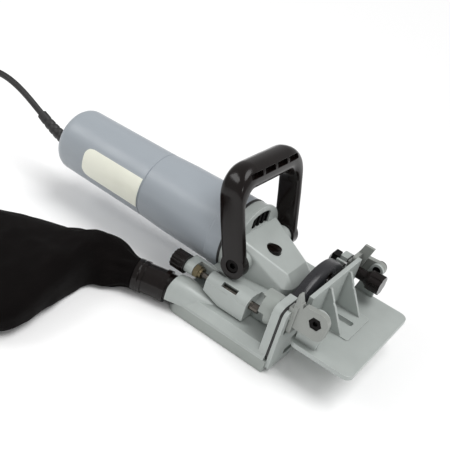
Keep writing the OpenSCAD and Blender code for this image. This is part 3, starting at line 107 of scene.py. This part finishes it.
def stretch(tree, factors, turn=(0, 0, 0)):
    """Object coordinates, stretched and turned."""
    mapping = tree.nodes.new("ShaderNodeMapping")
    mapping.inputs["Scale"].default_value = factors
    mapping.inputs["Rotation"].default_value = turn
    tree.links.new(object_place(tree), mapping.inputs["Vector"])
    return mapping.outputs["Vector"]


def spread(tree, value, low, high, to_low, to_high):
    """A value brought from one range to another, and held inside it."""
    ramp = tree.nodes.new("ShaderNodeMapRange")
    ramp.inputs["From Min"].default_value = low
    ramp.inputs["From Max"].default_value = high
    ramp.inputs["To Min"].default_value = to_low
    ramp.inputs["To Max"].default_value = to_high
    tree.links.new(value, ramp.inputs["Value"])
    return ramp.outputs["Result"]


def blend_colours(tree, share, first, second):
    """A colour between two, by a share. Each is a colour or the output of another blend."""
    mix = tree.nodes.new("ShaderNodeMix")
    mix.data_type = "RGBA"
    tree.links.new(share, mix.inputs["Factor"])
    for socket, colour in ((mix.inputs[6], first), (mix.inputs[7], second)):
        if isinstance(colour, tuple):
            socket.default_value = (*colour, 1)
        else:
            tree.links.new(colour, socket)
    return mix.outputs[2]


def times(tree, first, second):
    product = tree.nodes.new("ShaderNodeMath")
    product.operation = "MULTIPLY"
    tree.links.new(first, product.inputs[0])
    tree.links.new(second, product.inputs[1])
    return product.outputs["Value"]


def rounded_edges(tree, radius):
    """Normals that round the sharp edges by a small radius."""
    bevel = tree.nodes.new("ShaderNodeBevel")
    bevel.samples = 6
    bevel.inputs["Radius"].default_value = radius
    return bevel.outputs["Normal"]


def edge_share(tree, rounded):
    """1 on the edges that are rounded, and 0 on flat ground."""
    ground = tree.nodes.new("ShaderNodeNewGeometry")
    dot = tree.nodes.new("ShaderNodeVectorMath")
    dot.operation = "DOT_PRODUCT"
    tree.links.new(rounded, dot.inputs[0])
    tree.links.new(ground.outputs["Normal"], dot.inputs[1])
    return spread(tree, dot.outputs["Value"], 0.995, 0.86, 0.0, 1.0)


def bump(tree, shader, height, strength, distance, normal=None):
    relief = tree.nodes.new("ShaderNodeBump")
    relief.inputs["Strength"].default_value = strength
    relief.inputs["Distance"].default_value = distance
    tree.links.new(height, relief.inputs["Height"])
    if normal:
        tree.links.new(normal, relief.inputs["Normal"])
    tree.links.new(relief.outputs["Normal"], shader.inputs["Normal"])


def grime_and_shade_share(tree, reach):
    """1 deep in a piece's own corners, and 0 in the open, from ambient occlusion: partly dirt, partly
    painted shade.
    """
    shelter = tree.nodes.new("ShaderNodeAmbientOcclusion")
    shelter.samples = 6
    shelter.only_local = True
    shelter.inputs["Distance"].default_value = reach
    return spread(tree, shelter.outputs["AO"], 0.85, 0.35, 0.0, 1.0)


def shades(colour, low, high):
    return tuple(c * low for c in colour), tuple(min(1.0, c * high) for c in colour)


# Finishes
def painted_casting(name, colour, roughness, edge_r=0.9 * MM):
    """Painted die casting: fine orange peel, faint mottling, edges lightened partly as wear and partly as
    painted highlight, and corners darkened partly as dirt and partly as painted shade.
    """
    material, tree, shader = start_material(name, colour, roughness, 0.12)
    dark, light = shades(colour, 0.9, 1.08)
    rounded = rounded_edges(tree, edge_r)
    mottled = blend_colours(tree, noise_field(tree, 55, 4), dark, light)
    speckled = blend_colours(tree, spread(tree, noise_field(tree, 1900, 2), 0.62, 0.78, 0, 0.35), mottled,
        shades(colour, 1, 1.35)[1])
    # Edges lightened in colour: partly wear, partly a painted highlight along the rounded edges.
    edge_patchiness = spread(tree, noise_field(tree, 130, 4), 0.35, 0.7, 0.25, 0.8)
    edge_lightening = times(tree, edge_share(tree, rounded), edge_patchiness)
    pale_edged = blend_colours(tree, edge_lightening, speckled, shades(colour, 1, 1.7)[1])
    # Corners darkened in patches: partly dirt, partly painted shade where the piece shelters itself.
    patches = spread(tree, noise_field(tree, 220, 4), 0.3, 0.7, 0.35, 0.8)
    grime_and_shade = times(tree, grime_and_shade_share(tree, 5 * MM), patches)
    soiled_and_shaded = blend_colours(tree, grime_and_shade, pale_edged, shades(colour, 0.22, 1)[0])
    tree.links.new(soiled_and_shaded, shader.inputs["Base Color"])
    tree.links.new(spread(tree, noise_field(tree, 90, 5), 0.3, 0.7, roughness - 0.06, roughness + 0.1),
        shader.inputs["Roughness"])
    shader.inputs["Coat Weight"].default_value = 0.14
    shader.inputs["Coat Roughness"].default_value = 0.3
    bump(tree, shader, noise_field(tree, 850, 3), 0.12, 0.15 * MM, rounded)
    return material


def moulded_shell(name, colour, roughness, grain, edge_r=0.5 * MM, gloss=0.15, shine=0.5):
    """Moulded plastic: spark-eroded grain, slight flow streaks and handled, shinier edges."""
    material, tree, shader = start_material(name, colour, roughness)
    dark, light = shades(colour, 0.93, 1.06)
    rounded = rounded_edges(tree, edge_r)
    streaks = noise_field(tree, 40, 4, stretch(tree, (0.25, 1, 1)))
    base = blend_colours(tree, streaks, dark, light)
    edge_patchiness = spread(tree, noise_field(tree, 150, 4), 0.45, 0.75, 0.0, 0.5)
    edge_lightening = times(tree, edge_share(tree, rounded), edge_patchiness)
    pale_edged = blend_colours(tree, edge_lightening, base, shades(colour, 1, 1.9)[1])
    tree.links.new(pale_edged, shader.inputs["Base Color"])
    tree.links.new(spread(tree, noise_field(tree, 70, 6), 0.3, 0.72, roughness - 0.07, roughness + 0.09),
        shader.inputs["Roughness"])
    shader.inputs["Specular IOR Level"].default_value = shine
    shader.inputs["Coat Weight"].default_value = gloss
    shader.inputs["Coat Roughness"].default_value = 0.18
    bump(tree, shader, noise_field(tree, 2300, 2), grain, 0.1 * MM, rounded)
    return material


def bare_metal(name, colour, roughness, lines=(1, 1, 1), edge_r=0.25 * MM):
    """Machined metal: fine tool lines, smudged polish and bright edges."""
    material, tree, shader = start_material(name, colour, roughness, 1.0)
    dark, light = shades(colour, 0.82, 1.1)
    rounded = rounded_edges(tree, edge_r)
    smudged = blend_colours(tree, noise_field(tree, 160, 5), dark, light)
    pale_edged = blend_colours(tree, times(tree, edge_share(tree, rounded), noise_field(tree, 200, 3)), smudged,
        shades(colour, 1, 1.6)[1])
    tree.links.new(pale_edged, shader.inputs["Base Color"])
    tree.links.new(spread(tree, noise_field(tree, 240, 4), 0.3, 0.75, roughness - 0.08, roughness + 0.14),
        shader.inputs["Roughness"])
    bump(tree, shader, noise_field(tree, 1500, 2, stretch(tree, lines)), 0.1, 0.08 * MM, rounded)
    return material


def soft_rubber(name, colour, roughness):
    """Rubber: dull, slightly dusty and pitted."""
    material, tree, shader = start_material(name, colour, roughness)
    rounded = rounded_edges(tree, 0.3 * MM)
    dusty = spread(tree, noise_field(tree, 120, 5), 0.5, 0.8, 0.0, 0.35)
    dusted = blend_colours(tree, dusty, colour, shades(colour, 1, 3.2)[1])
    tree.links.new(dusted, shader.inputs["Base Color"])
    tree.links.new(spread(tree, noise_field(tree, 60, 4), 0.3, 0.7, roughness - 0.08, roughness + 0.1),
        shader.inputs["Roughness"])
    bump(tree, shader, noise_field(tree, 1700, 2), 0.15, 0.1 * MM, rounded)
    return material


def wound_copper(name, colour):
    """Copper: lacquered turns side by side."""
    material, tree, shader = start_material(name, colour, 0.35, 1.0)
    turns = tree.nodes.new("ShaderNodeTexWave")
    turns.inputs["Scale"].default_value = 260
    turns.inputs["Distortion"].default_value = 1.5
    tree.links.new(object_place(tree), turns.inputs["Vector"])
    dark, light = shades(colour, 0.45, 1.1)
    tree.links.new(blend_colours(tree, turns.outputs["Fac"], dark, light), shader.inputs["Base Color"])
    bump(tree, shader, turns.outputs["Fac"], 0.5, 0.3 * MM)
    return material


def woven_cloth(name, colour):
    """Black bag cloth: a plain weave on the bag's own map, with dust and a soft sheen."""
    material, tree, shader = start_material(name, colour, 0.85)
    sheet = tree.nodes.new("ShaderNodeUVMap")
    threads = []
    for direction in ("X", "Y"):
        wave = tree.nodes.new("ShaderNodeTexWave")
        wave.bands_direction = direction
        wave.inputs["Scale"].default_value = 300
        wave.inputs["Distortion"].default_value = 0.6
        wave.inputs["Detail"].default_value = 1
        tree.links.new(sheet.outputs["UV"], wave.inputs["Vector"])
        threads.append(wave.outputs["Fac"])
    weave = times(tree, *threads)
    dark, light = shades(colour, 0.6, 1.7)
    threaded = blend_colours(tree, weave, dark, light)
    dusty = spread(tree, noise_field(tree, 26, 6), 0.5, 0.8, 0.0, 0.22)
    dusted = blend_colours(tree, dusty, threaded, shades(colour, 1, 4.0)[1])
    tree.links.new(dusted, shader.inputs["Base Color"])
    shader.inputs["Sheen Weight"].default_value = 0.02
    shader.inputs["Sheen Roughness"].default_value = 0.5
    shader.inputs["Specular IOR Level"].default_value = 0.05
    bump(tree, shader, weave, 0.35, 0.25 * MM)
    return material


def printed_plate(name, colour):
    """The bare cream plate: satin foil with faint smudges."""
    material, tree, shader = start_material(name, colour, 0.4)
    dark, light = shades(colour, 0.94, 1.03)
    smudged = blend_colours(tree, noise_field(tree, 70, 5), dark, light)
    tree.links.new(smudged, shader.inputs["Base Color"])
    polish = spread(tree, noise_field(tree, 120, 4), 0.3, 0.7, 0.32, 0.48)
    tree.links.new(polish, shader.inputs["Roughness"])
    shader.inputs["Coat Weight"].default_value = 0.2
    bump(tree, shader, noise_field(tree, 1400, 2), 0.05, 0.05 * MM)
    return material


FINISHES = {
    "cast_alloy": painted_casting("cast_alloy_paint", (0.418, 0.450, 0.433), 0.38),
    "cover_alloy": painted_casting("cover_alloy_paint", (0.325, 0.352, 0.333), 0.42),
    "motor_plastic": moulded_shell("motor_shell", (0.340, 0.374, 0.408), 0.4, 0.16),
    "black_plastic": moulded_shell("black_moulding", (0.0065, 0.0042, 0.0037), 0.17, 0.05,
        gloss=0.04, shine=0.27),
    "hood_plastic": moulded_shell("hood_moulding", (0.021, 0.021, 0.024), 0.28, 0.08,
        gloss=0.06, shine=0.4),
    "rubber": soft_rubber("black_rubber", (0.0115, 0.011, 0.011), 0.5),
    "steel": bare_metal("bright_steel", (0.60, 0.60, 0.60), 0.3, (0.2, 1, 1)),
    "dark_steel": bare_metal("black_steel", (0.055, 0.056, 0.060), 0.38),
    "copper": wound_copper("wound_copper", (0.72, 0.36, 0.20)),
    "brass": bare_metal("aged_brass", (0.20, 0.165, 0.10), 0.3),
    "carbon": bare_metal("brush_carbon", (0.03, 0.03, 0.033), 0.5),
    "cloth": woven_cloth("bag_cloth", (0.0040, 0.0031, 0.0030)),
}
plate_finish = printed_plate("label_foil", (0.955, 0.96, 0.83))
slide_paint = painted_casting("slide_paint", (0.298, 0.312, 0.293), 0.4)
turret_paint = painted_casting("turret_paint", (0.310, 0.335, 0.315), 0.4)
black_oxide = bare_metal("black_oxide", (0.016, 0.015, 0.015), 0.5)
rod_steel = bare_metal("oiled_steel", (0.135, 0.122, 0.108), 0.27, (0.15, 1, 1))
grille_black = moulded_shell("grille_black", (0.004, 0.004, 0.004), 0.55, 0.05, gloss=0.0, shine=0.06)


def slot_of(node):
    return node.material_slots[0].material.name.split(".")[0]


OWN_FINISHES = {"height_slide": slide_paint, "depth_turret": turret_paint, "depth_rod": rod_steel,
    "tilt_bolts": black_oxide, "handle_bolts": black_oxide, "clamp_nut": black_oxide,
    "air_grille": grille_black}
node_slots = {name: slot_of(node) for name, node in nodes.items()}
for name, node in nodes.items():
    for slot in node.material_slots:
        slot.material = OWN_FINISHES.get(name, FINISHES[node_slots[name]])


# Modelling helpers
def deselect_all():
    for thing in bpy.context.selected_objects:
        thing.select_set(False)


def take(piece):
    """Makes one piece the only one that operators act on."""
    deselect_all()
    piece.select_set(True)
    bpy.context.view_layer.objects.active = piece


def apply_modifier(piece, kind, **values):
    take(piece)
    modifier = piece.modifiers.new(kind.lower(), kind)
    for key, value in values.items():
        setattr(modifier, key, value)
    bpy.ops.object.modifier_apply(modifier=modifier.name)


def mesh_piece(name, points, faces):
    mesh = bpy.data.meshes.new(name)
    mesh.from_pydata([tuple(p) for p in points], [], faces)
    mesh.update()
    piece = bpy.data.objects.new(name, mesh)
    scene.collection.objects.link(piece)
    return piece


def loft(name, rings, close_ends=True):
    """A skin over rings of points, with flat ends."""
    count = len(rings[0])
    faces = []
    for i in range(len(rings) - 1):
        for k in range(count):
            a = i * count + k
            b = i * count + (k + 1) % count
            faces.append((a, b, b + count, a + count))
    if close_ends:
        faces.append(tuple(reversed(range(count))))
        faces.append(tuple(range((len(rings) - 1) * count, len(rings) * count)))
    piece = mesh_piece(name, [p for ring in rings for p in ring], faces)
    make_outward(piece)
    return piece


def make_outward(piece):
    shell = bmesh.new()
    shell.from_mesh(piece.data)
    bmesh.ops.remove_doubles(shell, verts=shell.verts, dist=0.005 * MM)
    bmesh.ops.recalc_face_normals(shell, faces=shell.faces)
    shell.to_mesh(piece.data)
    shell.free()


def finish_piece(piece, body, material, replaced=()):
    piece.data.materials.clear()
    piece.data.materials.append(material)
    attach(piece, body)
    if replaced:
        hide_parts(*replaced)


def smooth_shell(node_name, piece_name, angle, weld=0.002 * MM):
    """A copy of a CAD node's mesh with its facets shaded as the round faces they stand for."""
    node = nodes[node_name]
    piece = bpy.data.objects.new(piece_name, node.data.copy())
    scene.collection.objects.link(piece)
    shell = bmesh.new()
    shell.from_mesh(piece.data)
    bmesh.ops.remove_doubles(shell, verts=shell.verts, dist=weld)
    shell.to_mesh(piece.data)
    shell.free()
    take(piece)
    if piece.data.has_custom_normals:
        bpy.ops.mesh.customdata_custom_splitnormals_clear()
    bpy.ops.object.shade_smooth_by_angle(angle=math.radians(angle))
    apply_modifier(piece, "WEIGHTED_NORMAL", keep_sharp=True, weight=80)
    return piece


def smooth_copy(node_name, piece_name, angle, body):
    piece = smooth_shell(node_name, piece_name, angle)
    slot = node_slots[node_name]
    finish_piece(piece, body, FINISHES[slot], (node_name,))
    return piece


# Mains lead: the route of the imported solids, in metres
CORD_R = 3.5 * MM
EXIT_Z = 49.5 * MM
REST_Z = 5.2 * MM
LEAD_STEPS = ((-6, 1.0), (0, 1.0), (13, 1.018), (26, 1.077), (39, 1.174), (52, 1.296), (65, 1.42),
    (79, 1.542), (94, 1.641), (110, 1.693), (126, 1.675), (142, 1.58), (157, 1.413), (171, 1.187),
    (185, 0.921), (199, 0.655), (214, 0.411), (230, 0.217), (247, 0.086), (265, 0.018), (282, 0), (294, 0))
BOOT_STATIONS = 6
BOOT_R = 7.0 * MM
BOOT_TIP_R = 5.1 * MM
BOOT_RING_DEPTH = 0.5 * MM
BOOT_PARTS = 12
BOOT_AROUND = 32
COIL_LAYER_TURNS = 3
COIL_PITCH = 7.9 * MM
COIL_IN_R = 27 * MM
COIL_RISE = 7.8 * MM
COIL_LEAD = 7 * MM
COIL_TAIL = 61.2 * MM
COIL_STEPS = 48


def lead_stations():
    """The lead's points from the cap to the coil."""
    cap_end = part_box("rear_cap")[0].x
    stations = []
    for behind, share in LEAD_STEPS:
        height = REST_Z + share * (EXIT_Z - REST_Z)
        stations.append(Vector((cap_end - behind * MM, 0, height)))
    return stations


def smooth_through(points, parts):
    """A smooth line through the points, with the same number of parts in each span."""
    line = []
    for k in range(len(points) - 1):
        before = points[max(k - 1, 0)]
        start = points[k]
        end = points[k + 1]
        after = points[min(k + 2, len(points) - 1)]
        for step in range(parts):
            t = step / parts
            line.append(0.5 * (2 * start + (end - before) * t
                + (2 * before - 5 * start + 4 * end - after) * t * t
                + (3 * start - before - 3 * end + after) * t * t * t))
    line.append(points[-1])
    return line


def coil_points(start):
    """The coil: inwards on the surface, up a layer, and outwards again to the plug."""
    outer = COIL_IN_R + COIL_PITCH * COIL_LAYER_TURNS
    centre = start - Vector((COIL_LEAD, outer, 0))
    turns = 2 * COIL_LAYER_TURNS
    points = []
    for k in range(turns * COIL_STEPS + 1):
        turn = k / COIL_STEPS
        radius = COIL_IN_R + COIL_PITCH * abs(turn - COIL_LAYER_TURNS)
        angle = math.pi / 2 + 2 * math.pi * turn
        climb = min(1, max(0, (turn - COIL_LAYER_TURNS + 0.25) * 2))
        rise = COIL_RISE * climb * climb * (3 - 2 * climb)
        points.append(centre + Vector((radius * math.cos(angle), radius * math.sin(angle), rise)))
    points.append(points[-1] - Vector((COIL_TAIL, 0, 0)))
    return points


def make_lead():
    stations = lead_stations()
    line = smooth_through(stations[BOOT_STATIONS - 1:], 6)
    points = line + coil_points(stations[-1])
    curve = bpy.data.curves.new("mains_lead", "CURVE")
    curve.dimensions = "3D"
    curve.bevel_depth = CORD_R
    curve.bevel_resolution = 4
    curve.use_fill_caps = True
    spline = curve.splines.new("POLY")
    spline.points.add(len(points) - 1)
    for slot, point in zip(spline.points, points):
        slot.co = (*point, 1)
    lead = bpy.data.objects.new("mains_lead", curve)
    scene.collection.objects.link(lead)
    curve.materials.append(FINISHES["rubber"])
    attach(lead, "motor_unit")
    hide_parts("power_cord", "cord_coil")


def make_boot():
    """The tapered boot, with shallow flex rings."""
    line = smooth_through(lead_stations()[:BOOT_STATIONS], BOOT_PARTS)
    rings = []
    for i, point in enumerate(line):
        ahead = (line[min(i + 1, len(line) - 1)] - line[max(i - 1, 0)]).normalized()
        side = Vector((0, 1, 0))
        up = ahead.cross(side)
        share = max(0, (i / BOOT_PARTS - 1) / (BOOT_STATIONS - 2))
        radius = BOOT_R + (BOOT_TIP_R - BOOT_R) * min(1, share)
        if 0.28 < share < 0.9 and i % 6 in (2, 3):
            radius -= BOOT_RING_DEPTH
        ring = []
        for k in range(BOOT_AROUND):
            angle = 2 * math.pi * k / BOOT_AROUND
            ring.append(point + radius * (math.cos(angle) * side + math.sin(angle) * up))
        rings.append(ring)
    boot = loft("lead_boot", rings)
    take(boot)
    bpy.ops.object.shade_smooth_by_angle(angle=math.radians(50))
    finish_piece(boot, "motor_unit", FINISHES["rubber"], ("strain_relief",))


lead_plug = smooth_copy("plug", "lead_plug", 40, "motor_unit")
lead_tie = smooth_copy("coil_tie", "lead_tie", 40, "motor_unit")
make_boot()
make_lead()


# Dust bag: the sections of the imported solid, drawn finer, with gathers and sagging folds
CHUTE_AT = Vector((-108, -62, 15.4)) * MM
CHUTE_YAW = math.radians(17)
ADAPTER_L = 38
BAG_NECK_R = 14.8
BAG_L = 177
BAG_W = 140
BAG_H = 34
BAG_LOW = 0.3
BAG_FLOOR = -15.4
BAG_AROUND = 72
BAG_PARTS = 6
BAG_SECTIONS = ((0.114, 0.12, 0.115, -0.14, 0.95), (0.228, 0.115, 0.205, -0.22, 1.1),
    (0.36, 0.1, 0.25, -0.55, 1.1), (0.507, 0.085, 0.3, -0.86, 1.05), (0.667, 0.05, 0.45, -1, 1),
    (0.823, 0, 0.63, -1.04, 0.9), (0.932, -0.1, 0.8, -1, 0.75), (1, -0.24, 0.936, -0.86, 0.45))


def bulge(value, power):
    return math.copysign(abs(value) ** power, value)


def neck_ring(x):
    ring = []
    for k in range(BAG_AROUND):
        angle = -2 * math.pi * k / BAG_AROUND
        ring.append(Vector((x, BAG_NECK_R * math.cos(angle), BAG_NECK_R * math.sin(angle))))
    return ring


def bag_ring_points(section):
    far = Vector((-ADAPTER_L - BAG_L * section[0], BAG_W * section[1]))
    near = Vector((-ADAPTER_L - BAG_L * section[2], BAG_W * section[3]))
    ring = []
    for k in range(BAG_AROUND):
        angle = -2 * math.pi * k / BAG_AROUND
        across = bulge(math.cos(angle), 0.8)
        up = bulge(math.sin(angle), 0.45 if math.sin(angle) < 0 else 0.85)
        flat = (far + near) / 2 + (far - near) / 2 * across
        height = BAG_FLOOR + BAG_LOW + BAG_H * section[4] / 2 * (1 + up) * (1 + 0.1 * across)
        ring.append(Vector((flat.x, flat.y, height)))
    return ring


def fold_depth(share, angle, point):
    """How far the cloth moves out or in: gathers at the neck, long folds, and small creases."""
    gather = 1.1 * math.cos(9 * angle) * max(0, 1 - abs(share - 0.16) / 0.16)
    long_fold = 1.6 * math.sin(2.2 * angle + 9 * share) * min(1, share * 4)
    crease = 2.2 * noise.noise(point * 0.045) + 1.0 * noise.noise(point * 0.11 + Vector((7, 3, 1)))
    ridge = max(0, 1 - 3.2 * abs(noise.noise(point * 0.034 + Vector((2, 5, 9))))) ** 2
    return gather + (long_fold + crease + 3.0 * ridge) * min(1, max(0, share - 0.06) * 5)


def make_bag():
    stations = [neck_ring(-ADAPTER_L - 0.3), neck_ring(-ADAPTER_L - 7)]
    stations += [bag_ring_points(section) for section in BAG_SECTIONS]
    lines = [smooth_through([ring[k] for ring in stations], BAG_PARTS) for k in range(BAG_AROUND)]
    steps = len(lines[0])
    turn = Matrix.Rotation(CHUTE_YAW, 3, "Z")
    rings = []
    for i in range(steps):
        share = i / (steps - 1)
        middle = sum((line[i] for line in lines), Vector()) / BAG_AROUND
        ring = []
        for k in range(BAG_AROUND):
            point = lines[k][i]
            angle = 2 * math.pi * k / BAG_AROUND
            outward = (point - middle).normalized()
            moved = point + outward * fold_depth(share, angle, point)
            moved.z = max(moved.z, BAG_FLOOR + BAG_LOW)
            ring.append(CHUTE_AT + turn @ moved * MM)
        rings.append(ring)
    bag = loft("dust_sack", rings)
    cloth_map = bag.data.uv_layers.new(name="cloth")
    for face in bag.data.polygons:
        for loop in face.loop_indices:
            vertex = bag.data.vertices[bag.data.loops[loop].vertex_index].index
            along = vertex // BAG_AROUND / steps
            around = vertex % BAG_AROUND / BAG_AROUND
            cloth_map.data[loop].uv = (along * 0.8, around * 0.8)
    apply_modifier(bag, "SUBSURF", levels=1, render_levels=1)
    take(bag)
    bpy.ops.object.shade_smooth()
    finish_piece(bag, "base", FINISHES["cloth"], ("dust_bag",))


make_bag()


# Pieces whose facets stand for round faces
SMOOTH_NODES = (("handle", "d_handle", 40, "handle_body"), ("base_housing", "base_casting", 24, "base"),
    ("gear_head", "gear_head_shell", 24, "motor_unit"))
for node_name, piece_name, angle, body in SMOOTH_NODES:
    smooth_copy(node_name, piece_name, angle, body)


# Return springs, which shorten between the base's wall and the plunging motor unit
def make_springs():
    springs = smooth_shell("return_springs", "return_coils", 40)
    slot = node_slots["return_springs"]
    springs.data.materials.clear()
    springs.data.materials.append(FINISHES[slot])
    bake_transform(springs)
    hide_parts("return_springs")


make_springs()


# Black plug in the round hole at the hood's top: its black is painted shade standing in for the dark
# inside of the hole
PLUG_R = 5.3 * MM
PLUG_DEPTH = 3.4 * MM
PLUG_BELOW_TOP = 8.5 * MM
PLUG_SET_BACK = 0.3 * MM
RIM_W = 1.0 * MM
DISH_DEPTH = 1.6 * MM
DISH_W = 1.9 * MM
NUB_H = 0.9 * MM
WALL_SLANT = 0.3 * MM
PLUG_EDGE_R = 0.25 * MM


def make_hole_shade_plug():
    """A turned cup: rounded rim, dished face and a nub in the middle."""
    low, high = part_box("nose_guard")
    centre = Vector((high.x - PLUG_SET_BACK, 0, high.z - PLUG_BELOW_TOP))
    deselect_all()
    bpy.ops.mesh.primitive_cylinder_add(vertices=40, radius=PLUG_R, depth=PLUG_DEPTH,
        location=centre - Vector((PLUG_DEPTH / 2, 0, 0)), rotation=(0, math.pi / 2, 0))
    plug = bpy.context.object
    plug.name = "hole_shade_plug"
    bpy.ops.object.transform_apply(location=True, rotation=True, scale=True)
    bpy.ops.object.mode_set(mode="EDIT")
    bpy.ops.mesh.select_mode(type="FACE")
    bpy.ops.mesh.select_all(action="DESELECT")
    bpy.ops.object.mode_set(mode="OBJECT")
    for face in plug.data.polygons:
        face.select = face.normal.x > 0.9
    bpy.ops.object.mode_set(mode="EDIT")
    bpy.ops.mesh.inset(thickness=RIM_W)
    bpy.ops.mesh.inset(thickness=WALL_SLANT, depth=-DISH_DEPTH)
    bpy.ops.mesh.inset(thickness=DISH_W)
    bpy.ops.mesh.inset(thickness=WALL_SLANT, depth=NUB_H)
    bpy.ops.object.mode_set(mode="OBJECT")
    apply_modifier(plug, "BEVEL", width=PLUG_EDGE_R, segments=2, limit_method="ANGLE")
    take(plug)
    bpy.ops.object.shade_smooth_by_angle(angle=math.radians(35))
    finish_piece(plug, "base", FINISHES["black_plastic"])


make_hole_shade_plug()


# Bare plate on the rear cap
PLATE_FROM_X = -262
PLATE_LOW = math.radians(-24)
PLATE_HIGH = math.radians(29)
PLATE_CORNER = 9.0
PLATE_T = 0.5
PLATE_LIFT = 0.02
PLATE_TO_SEAM = 1.2
MOTOR_Z = 62
CAP_END_R = 32.6
CAP_SEAM_R = 33.9
CAP_ROUNDING = 11


def cap_radius(x, cap_low, cap_high):
    """The cap's radius at a place along it."""
    start = cap_low + CAP_ROUNDING
    return CAP_END_R + (CAP_SEAM_R - CAP_END_R) * (x - start) / (cap_high - start)


def make_plate():
    low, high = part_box("rear_cap")
    cap_low, cap_high = low.x / MM, high.x / MM
    to_x = cap_high - PLATE_TO_SEAM
    deselect_all()
    bpy.ops.mesh.primitive_grid_add(x_subdivisions=36, y_subdivisions=28, size=2)
    plate = bpy.context.object
    plate.name = "label_plate"
    arc = (PLATE_HIGH - PLATE_LOW) * cap_radius(-225, cap_low, cap_high)
    for vertex in plate.data.vertices:
        along = (vertex.co.x + 1) / 2
        up = (vertex.co.y + 1) / 2
        inset = max(0, PLATE_CORNER - min(up, 1 - up) * arc)
        from_x = PLATE_FROM_X + PLATE_CORNER - math.sqrt(max(0, PLATE_CORNER ** 2 - inset ** 2))
        x = from_x + (to_x - from_x) * along
        angle = PLATE_LOW + (PLATE_HIGH - PLATE_LOW) * up
        radius = cap_radius(x, cap_low, cap_high) + PLATE_LIFT
        vertex.co = Vector((x, -radius * math.cos(angle), MOTOR_Z + radius * math.sin(angle))) * MM
    make_outward(plate)
    centre = plate.data.polygons[len(plate.data.polygons) // 2]
    if centre.normal.y > 0:
        take(plate)
        bpy.ops.object.mode_set(mode="EDIT")
        bpy.ops.mesh.select_all(action="SELECT")
        bpy.ops.mesh.flip_normals()
        bpy.ops.object.mode_set(mode="OBJECT")
    apply_modifier(plate, "SOLIDIFY", thickness=PLATE_T * MM, offset=1)
    take(plate)
    bpy.ops.object.shade_smooth_by_angle(angle=math.radians(30))
    finish_piece(plate, "motor_unit", plate_finish)


make_plate()


# Studio: pale floor, even sky, soft key light from above, and two boxes given as place, size and power
WORLD_SEEN = 1.0
WORLD_LIGHT = 0.46
FLOOR_SIZE = 40.0
FLOOR_Z = -0.0004
FLOOR_COLOUR = (0.98, 0.98, 0.98)
FLOOR_ROUGHNESS = 0.9
AIM_AT = Vector((-0.12, 0.0, 0.05))
KEY_FROM = Vector((0.3, 0.12, 1.0))
KEY_STRENGTH = 1.75
KEY_ANGLE = math.radians(40)
SOFTBOXES = (("front_box", (0.62, -0.62, 0.72), 0.2, 0.2, 0.9),
    ("side_box", (-0.82, -0.55, 0.78), 0.6, 0.32, 2.4))


def seen_or_lit(tree, seen, lit):
    """One value for what the camera sees, and another for the light itself."""
    rays = tree.nodes.new("ShaderNodeLightPath")
    return spread(tree, rays.outputs["Is Camera Ray"], 0.0, 1.0, lit, seen)


def set_world():
    world = bpy.data.worlds.new("studio")
    world.use_nodes = True
    scene.world = world
    tree = world.node_tree
    background = tree.nodes["Background"]
    background.inputs["Color"].default_value = (1, 1, 1, 1)
    tree.links.new(seen_or_lit(tree, WORLD_SEEN, WORLD_LIGHT), background.inputs["Strength"])


def set_floor():
    deselect_all()
    bpy.ops.mesh.primitive_plane_add(size=FLOOR_SIZE, location=(0, 0, FLOOR_Z))
    floor = bpy.context.object
    floor.name = "floor"
    material, tree, shader = start_material("pale_floor", FLOOR_COLOUR, FLOOR_ROUGHNESS)
    shader.inputs["Specular IOR Level"].default_value = 0.0
    floor.data.materials.append(material)


def aim(light, target):
    light.rotation_euler = (target - light.location).to_track_quat("-Z", "Y").to_euler()


def set_lights():
    sky = bpy.data.lights.new("key", "SUN")
    sky.energy = KEY_STRENGTH
    sky.angle = KEY_ANGLE
    key = bpy.data.objects.new("key", sky)
    scene.collection.objects.link(key)
    key.location = AIM_AT + KEY_FROM
    aim(key, AIM_AT)
    for name, place, width, height, power in SOFTBOXES:
        lamp = bpy.data.lights.new(name, "AREA")
        lamp.shape = "RECTANGLE"
        lamp.size = width
        lamp.size_y = height
        lamp.energy = power
        light = bpy.data.objects.new(name, lamp)
        scene.collection.objects.link(light)
        light.location = place
        aim(light, AIM_AT)


set_world()
set_floor()
set_lights()
scene.view_settings.view_transform = "Standard"
